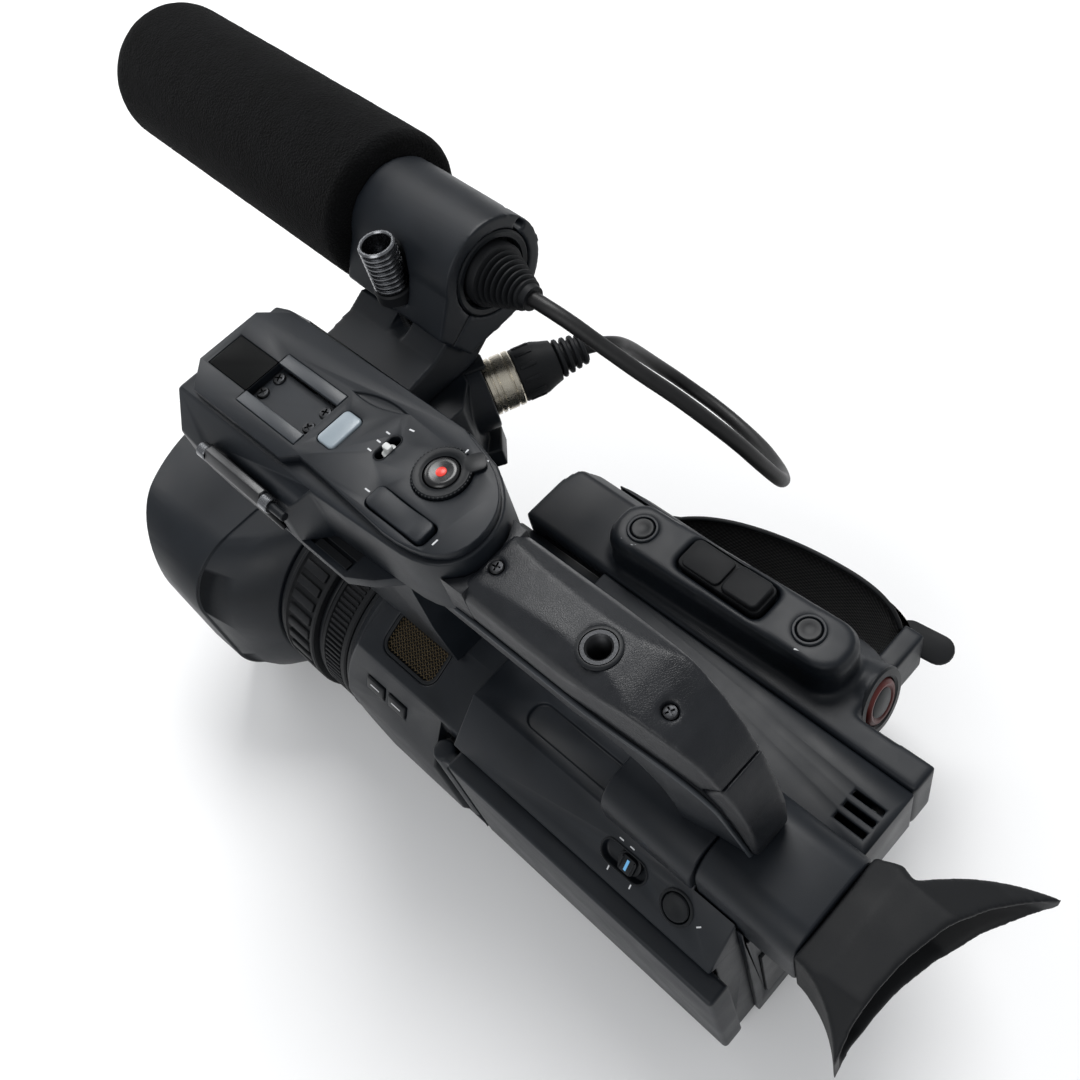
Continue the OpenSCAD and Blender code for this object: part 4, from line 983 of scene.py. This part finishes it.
knobPlace = place(-44.5, -45, 0)
knobBody = latheShape([(0, 165), (1.9, 165), (1.9, 182.3), (3.4, 182.3), (3.4, 186.5), (5.0, 186.5),
                       (5.0, 200.4),
                       (5.5, 200.8), (5.5, 201.5), (5.1, 202), (4.6, 202), (4.3, 201.6), (4.3, 189.6),
                       (0, 189.2)], 56)
addPiece("knob_body", knobBody, "chrome_knob", "clamp_knob", knobPlace, ["clamp_knob"])
ridge = latheShape([(0.86, -0.62), (0.97, -0.55), (1, -0.2), (1, 0.2), (0.97, 0.55), (0.86, 0.62)], 56, True)
grown("knob_ridges", "stack", ridge, {"Count": 8, "Pitch": 1.72, "FirstSize": 5.5, "LastSize": 5.5},
      "chrome_knob",
      "clamp_knob", knobPlace @ place(0, 0, 187.3))
washer = latheShape([(2.2, 182.35), (5.9, 182.35), (5.9, 185.6), (5.4, 186.2), (2.2, 186.2)], 56, True)
addPiece("knob_washer", washer, "rubber_black", "clamp_knob", knobPlace)
print("stage: microphone")


# latch and the socket under the plug
latch = softBox((-13.2, -3, -7.5), (-11.2, 3, 1.8), 0.7, 2)
addPiece("plug_latch", latch, "body_dark", at=plugPlace)
jack = latheShape([(0, -13.6), (6.9, -13.6), (6.9, -12.4), (2.6, -12.4), (0, -12.4)], 40)
addPiece("jack_floor", jack, "rubber_black", at=jackPlace)
pin = latheShape([(0, -12.5), (1.05, -12.5), (1.05, -4.6), (0.6, -4), (0, -4)], 16)
grown("jack_pins", "spots", pin, {}, "nickel", at=jackPlace,
      spots=[(3.1, 0, 0, 0), (-1.6, 2.8, 0, 0), (-1.6, -2.8, 0, 0)])
rim = latheShape([(6.9, -13), (7.4, -13), (8.6, 0.2), (8.6, 0.9), (8.1, 1.2), (7.4, 0.9), (6.9, 0)], 48, True)
addPiece("jack_rim", rim, "body_dark", at=jackPlace)
print("stage: plug and sockets")


# side grip: rocker, buttons, trigger
gripRocker = rounded(moved(outlineShape(roundRect(11.4, 31, 2.4), 107.2, 110.9), place(-58.2, 61, 0)), 0.5, 2)
addPiece("grip_rocker_cap", gripRocker, "rubber_black", "grip_rocker", replaces=["grip_rocker"])
frontPad = rounded(moved(outlineShape(roundRect(10.4, 14.6, 2.0), -0.6, 0.9),
                         place(-58.2, 54.1, 110.9, (1.5, 0, 0))), 0.5, 2)
addPiece("grip_rocker_front", frontPad, "rubber_black", "grip_rocker")
rearPad = rounded(moved(outlineShape(roundRect(10.4, 13.4, 2.0), -1.2, 1.5),
                        place(-58.2, 69, 111.3, (4.5, 0, 0))), 0.7, 3)
addPiece("grip_rocker_rear", rearPad, "rubber_black", "grip_rocker")
dish = [(0, 0), (3.75, 0), (3.75, 2.5), (3.4, 2.95), (2.9, 3.0), (1.8, 2.72), (0, 2.62)]
gripButtons = {"focus_button": (-56, 29), "rec_small_button": (-58.8, 91)}
for label, spot in gripButtons.items():
    addPiece(label + "_cap", latheShape(dish, 40), "body_dark", label, place(*spot, 107.7), [label])
    collar = latheShape([(4.05, 109.2), (5.2, 109.2), (5.2, 110.2), (4.85, 110.5), (4.3, 110.5),
                         (4.05, 110.2)], 44, True)
    addPiece(label + "_collar", collar, "body_charcoal", at=place(*spot, 0))
marks("grip_marks", [(-49.8, 26.5, 109.9, 0.4), (-49.8, 30.5, 109.9, 0.4), (-51.6, 92, 109.9, 0.4)],
      (0.5, 1.6))
trigger = latheShape([(0, -2.2), (7.7, -2.2), (7.7, -0.4), (7.3, 0.3), (6.4, 0.8), (5.7, 0.7), (5.2, 0.2),
                      (0, 0.05)], 56)
addPiece("trigger_ring", trigger, "trigger_red", "rec_trigger", triggerPlace, ["rec_trigger"])
triggerCap = latheShape([(0, 0.02), (4.9, 0.02), (4.9, 0.4), (4.2, 0.72), (0, 0.78)])
addPiece("trigger_cap", triggerCap, "body_dark", "rec_trigger", triggerPlace)
collar = latheShape([(8.1, -6), (11.3, -6), (11.3, -0.3), (10.8, 0.3), (8.9, 0.4), (8.1, -0.2)], 64, True)
addPiece("trigger_collar", collar, "body_dark", at=triggerPlace)
print("stage: grip")


# hand strap: padded band with a webbing strap over it
strapSizes = {"low": 30, "high": 78, "taper": 7, "thick": 3.4, "across": 26, "piping": 0.95, "stitch": 2.6,
              "seams": (41.5, 68.5)}
strapPath = bezier((-81, 12), (-97, 40), (-98.6, 72), 26) + bezier((-98.8, 76), (-99.5, 93), (-94.6, 100.4),
                                                                   12)


def bandNormals(path):
    found = []
    for i in range(len(path)):
        a, b = path[max(i - 1, 0)], path[min(i + 1, len(path) - 1)]
        d = Vector((b[0] - a[0], b[1] - a[1])).normalized()
        found.append((-d.y, d.x))
    return found


def bandMesh(name, path, inner, outer, lowAt, highAt, across, crown):
    # inner and outer are offsets from the path; the crown makes the middle full and the edges thin
    normals = bandNormals(path)
    points, faces, uvs = [], [], []
    run = [0]
    for a, b in zip(path, path[1:]):
        run.append(run[-1] + math.dist(a, b))
    for i, (p, nrm) in enumerate(zip(path, normals)):
        low, high = lowAt(i / (len(path) - 1)), highAt(i / (len(path) - 1))
        for side in (0, 1):
            for k in range(across + 1):
                s = k / across if side == 0 else 1 - k / across
                fall = (1 - abs(2 * s - 1) ** crown) ** 0.5 if crown else 1
                ends = 1 if not crown else min(1, 0.35 + 12 * min(i, len(path) - 1 - i) / len(path))
                middle = (inner + outer) / 2
                half = (outer - inner) / 2 * max(0.06, fall * ends)
                ripple = 0.22 * math.sin(run[i] * 0.42) * math.sin(s * math.pi) if crown else 0
                off = middle + (half if side == 0 else -half) + ripple * (1 if side == 0 else -0.3)
                z = low + (high - low) * s
                points.append((p[0] + nrm[0] * off, p[1] + nrm[1] * off, z))
                uvs.append((run[i] * mm, z * mm))
    ring = 2 * (across + 1)
    for i in range(len(path) - 1):
        for k in range(ring):
            n = (k + 1) % ring
            faces.append([i * ring + k, i * ring + n, (i + 1) * ring + n, (i + 1) * ring + k])
    faces += [list(range(ring)), [(len(path) - 1) * ring + k for k in range(ring)]]
    mesh = bpy.data.meshes.new(name)
    mesh.from_pydata(points, [], faces)
    layer = mesh.uv_layers.new(name="UVMap")
    for loop in mesh.loops:
        layer.data[loop.index].uv = uvs[loop.vertex_index]
    shape = bmesh.new()
    shape.from_mesh(mesh)
    bmesh.ops.recalc_face_normals(shape, faces=shape.faces)
    shape.to_mesh(mesh)
    shape.free()
    mesh.transform(Matrix.Scale(mm, 4))
    mesh.materials.append(finishes["strap_fabric"])
    return mesh


def padLow(t):  # the pad narrows towards both ends
    return strapSizes["low"] + strapSizes["taper"] * (2 * t - 1) ** 4


def padHigh(t):
    return strapSizes["high"] - strapSizes["taper"] * (2 * t - 1) ** 4


padMesh = bandMesh("strap_pad_cushion", strapPath, -strapSizes["thick"], 0, padLow, padHigh,
                   strapSizes["across"], 6)
pad = settle(bpy.data.objects.new("strap_pad_cushion", padMesh), "camera_body",
             ["strap_pad"], 70)
normals = bandNormals(strapPath)
edgePath = []
for i, (p, nrm) in enumerate(zip(strapPath, normals)):
    t = i / (len(strapPath) - 1)
    edgePath.append((p[0] - 1.7 * nrm[0], p[1] - 1.7 * nrm[1], padHigh(t)))
lowEdge = [(x, y, strapSizes["low"] + strapSizes["high"] - z) for x, y, z in edgePath]
piping = joined(*[tubeShape(path, circleOutline(strapSizes["piping"], 10)) for path in (edgePath, lowEdge)])
addPiece("strap_pad_piping", piping, "rubber_black", smooth=60)
stitch = tubeShape([(-0.8, 0, -0.12), (-0.3, 0, 0.14), (0.3, 0, 0.14), (0.8, 0, -0.12)],
                   circleOutline(0.16, 5))
seamSpots = []
for height in strapSizes["seams"]:
    seamSpots += [(p[0] + 1.78 * nrm[0], p[1] + 1.78 * nrm[1], height) for p, nrm in zip(strapPath, normals)]
count = len(strapPath)
seamEdges = [(i, i + 1) for i in range(count - 1)] + [(count + i, count + i + 1) for i in range(count - 1)]
grown("strap_stitches", "seam", stitch, {"Spacing": strapSizes["stitch"]}, "strap_fabric", spots=seamSpots,
      edges=seamEdges)

longPath = [(-80.4, 4.8)] + strapPath + [(-88.6, 106.4)]
webbing = {"inner": 0.15, "outer": 1.7, "low": 40, "endLow": 58.5, "high": 70}
webMesh = bandMesh("strap_webbing_band", strapPath, webbing["inner"], webbing["outer"],
                   lambda t: webbing["low"],
                   lambda t: webbing["high"], 14, 0)
endMesh = bandMesh("strap_webbing_ends", longPath, webbing["inner"], webbing["outer"],
                   lambda t: webbing["endLow"],
                   lambda t: webbing["high"], 6, 0)
settle(bpy.data.objects.new("strap_webbing_band", webMesh), "camera_body",
       ["strap_webbing"], 40)
settle(bpy.data.objects.new("strap_webbing_ends", endMesh), "camera_body", [], 40)
tail = slab(10, 20, 4.8, -1, 1.2, 0.5, 2)
addPiece("strap_tail", tail, "rubber_black", at=place(-98.7, 105.4, 60, (0, 12, 6)))
print("stage: strap")


# control strip: slide switch and mode button
switchPlace = stripPlace(90)
slide = joined(rounded(moved(outlineShape(roundRect(6.2, 8, 2.8), -2.2, -0.8), place(0, 1.5, 0)), 0.25, 2),
               rounded(moved(outlineShape(roundRect(5.4, 5.6, 1.4), -0.8, 0.6), place(0, 1.5, 0)), 0.4, 2))
addPiece("power_slide_cap", slide, "body_dark", "power_switch", switchPlace, ["power_switch"])
marks("power_slide_tick", [(0, 1.5, 0.62, 1.57)], (0.9, 3.6), switchPlace, "power_switch", bluePaint)
grooves = softBox((-2.2, -0.22, 0.45), (2.2, 0.22, 0.95), 0.12, 1)
grown("power_slide_ridges", "spots", grooves, {}, "body_dark", "power_switch", switchPlace,
      spots=[(0, -0.5, 0, 0), (0, 3.5, 0, 0)])
rimShape = frameShape(roundRect(8.2, 17.2, 4), roundRect(7, 16, 3.4), -0.3, 0.3)
addPiece("power_rim", rounded(rimShape, 0.2, 1), "body_dark", at=switchPlace)
marks("power_marks", [(-5.4, -3.4, 0, 0), (-5.4, 0.6, 0, 0), (5.2, -3.4, 0, 1.57), (5.2, 5, 0, 1.57)],
      (0.45, 1.6), switchPlace)
modePlace = stripPlace(109.5)
addPiece("mode_cap", latheShape([(0, -2.3), (4.2, -2.3), (4.2, 0.3), (3.9, 0.65), (3.3, 0.7), (2.2, 0.45),
                                 (0, 0.35)], 44),
         "body_dark", "mode_button", modePlace, ["mode_button"])
addPiece("mode_rim", latheShape([(4.5, -0.3), (5.5, -0.3), (5.5, 0.15), (5.2, 0.4), (4.7, 0.4), (4.5, 0.1)],
                                48, True),
         "body_dark", at=modePlace)
marks("mode_marks", [(0, 8, 0, 0.8)], (0.45, 1.6), modePlace)
print("stage: control strip")


# every other CAD node keeps its shape and takes its finish
for nodeName, each in cadNodes.items():
    if not each.hide_render and not any(m and m in list(finishes.values()) for m in each.data.materials):
        each.data.materials.clear()
        each.data.materials.append(finishes[nodeSlot[nodeName]])
        print("plain copy kept:", nodeName)


# studio: pale floor, soft light
studio = {"half": 6, "drop": 0.0003, "aim": (-0.02, 0.0, 0.1), "air": (0.95, 0.97, 1, 1), "strength": 0.5}
floorData = bpy.data.meshes.new("floor")
floorCorners = [(x * studio["half"], y * studio["half"], -studio["drop"]) for x,
                y in ((-1, -1), (1, -1), (1, 1), (-1, 1))]
floorData.from_pydata(floorCorners, [], [(0, 1, 2, 3)])
floor = bpy.data.objects.new("floor", floorData)
floorMaterial, floorTree, floorShader = startMaterial("floor", (0.86, 0.86, 0.86), 0.9, specular=0.1)
tinted(floorTree, floorShader, noiseOf(floorTree, objectPoint(floorTree), 400), (0.85, 0.85, 0.85),
       (0.88, 0.88, 0.88))
floorData.materials.append(floorMaterial)
scene.collection.objects.link(floor)
lampSetup = {
    "key": {"at": (-0.7, -0.5, 1.5), "size": 0.8, "power": 22},
    "fill": {"at": (1.3, 0.5, 1.2), "size": 1.1, "power": 11},
    "rim": {"at": (-0.2, -1.6, 0.9), "size": 0.8, "power": 6.5},
}
for label, setup in lampSetup.items():
    light = bpy.data.lights.new(label, "AREA")
    light.size, light.energy = setup["size"], setup["power"]
    lightObject = bpy.data.objects.new(label, light)
    lightObject.location = setup["at"]
    aim = Vector(studio["aim"]) - Vector(setup["at"])
    lightObject.rotation_euler = aim.to_track_quat("-Z", "Y").to_euler()
    scene.collection.objects.link(lightObject)
world = bpy.data.worlds.new("studio")
world.use_nodes = True
world.node_tree.nodes["Background"].inputs["Color"].default_value = studio["air"]
world.node_tree.nodes["Background"].inputs["Strength"].default_value = studio["strength"]
scene.world = world
scene.view_settings.view_transform = "Standard"
print("stage: studio")
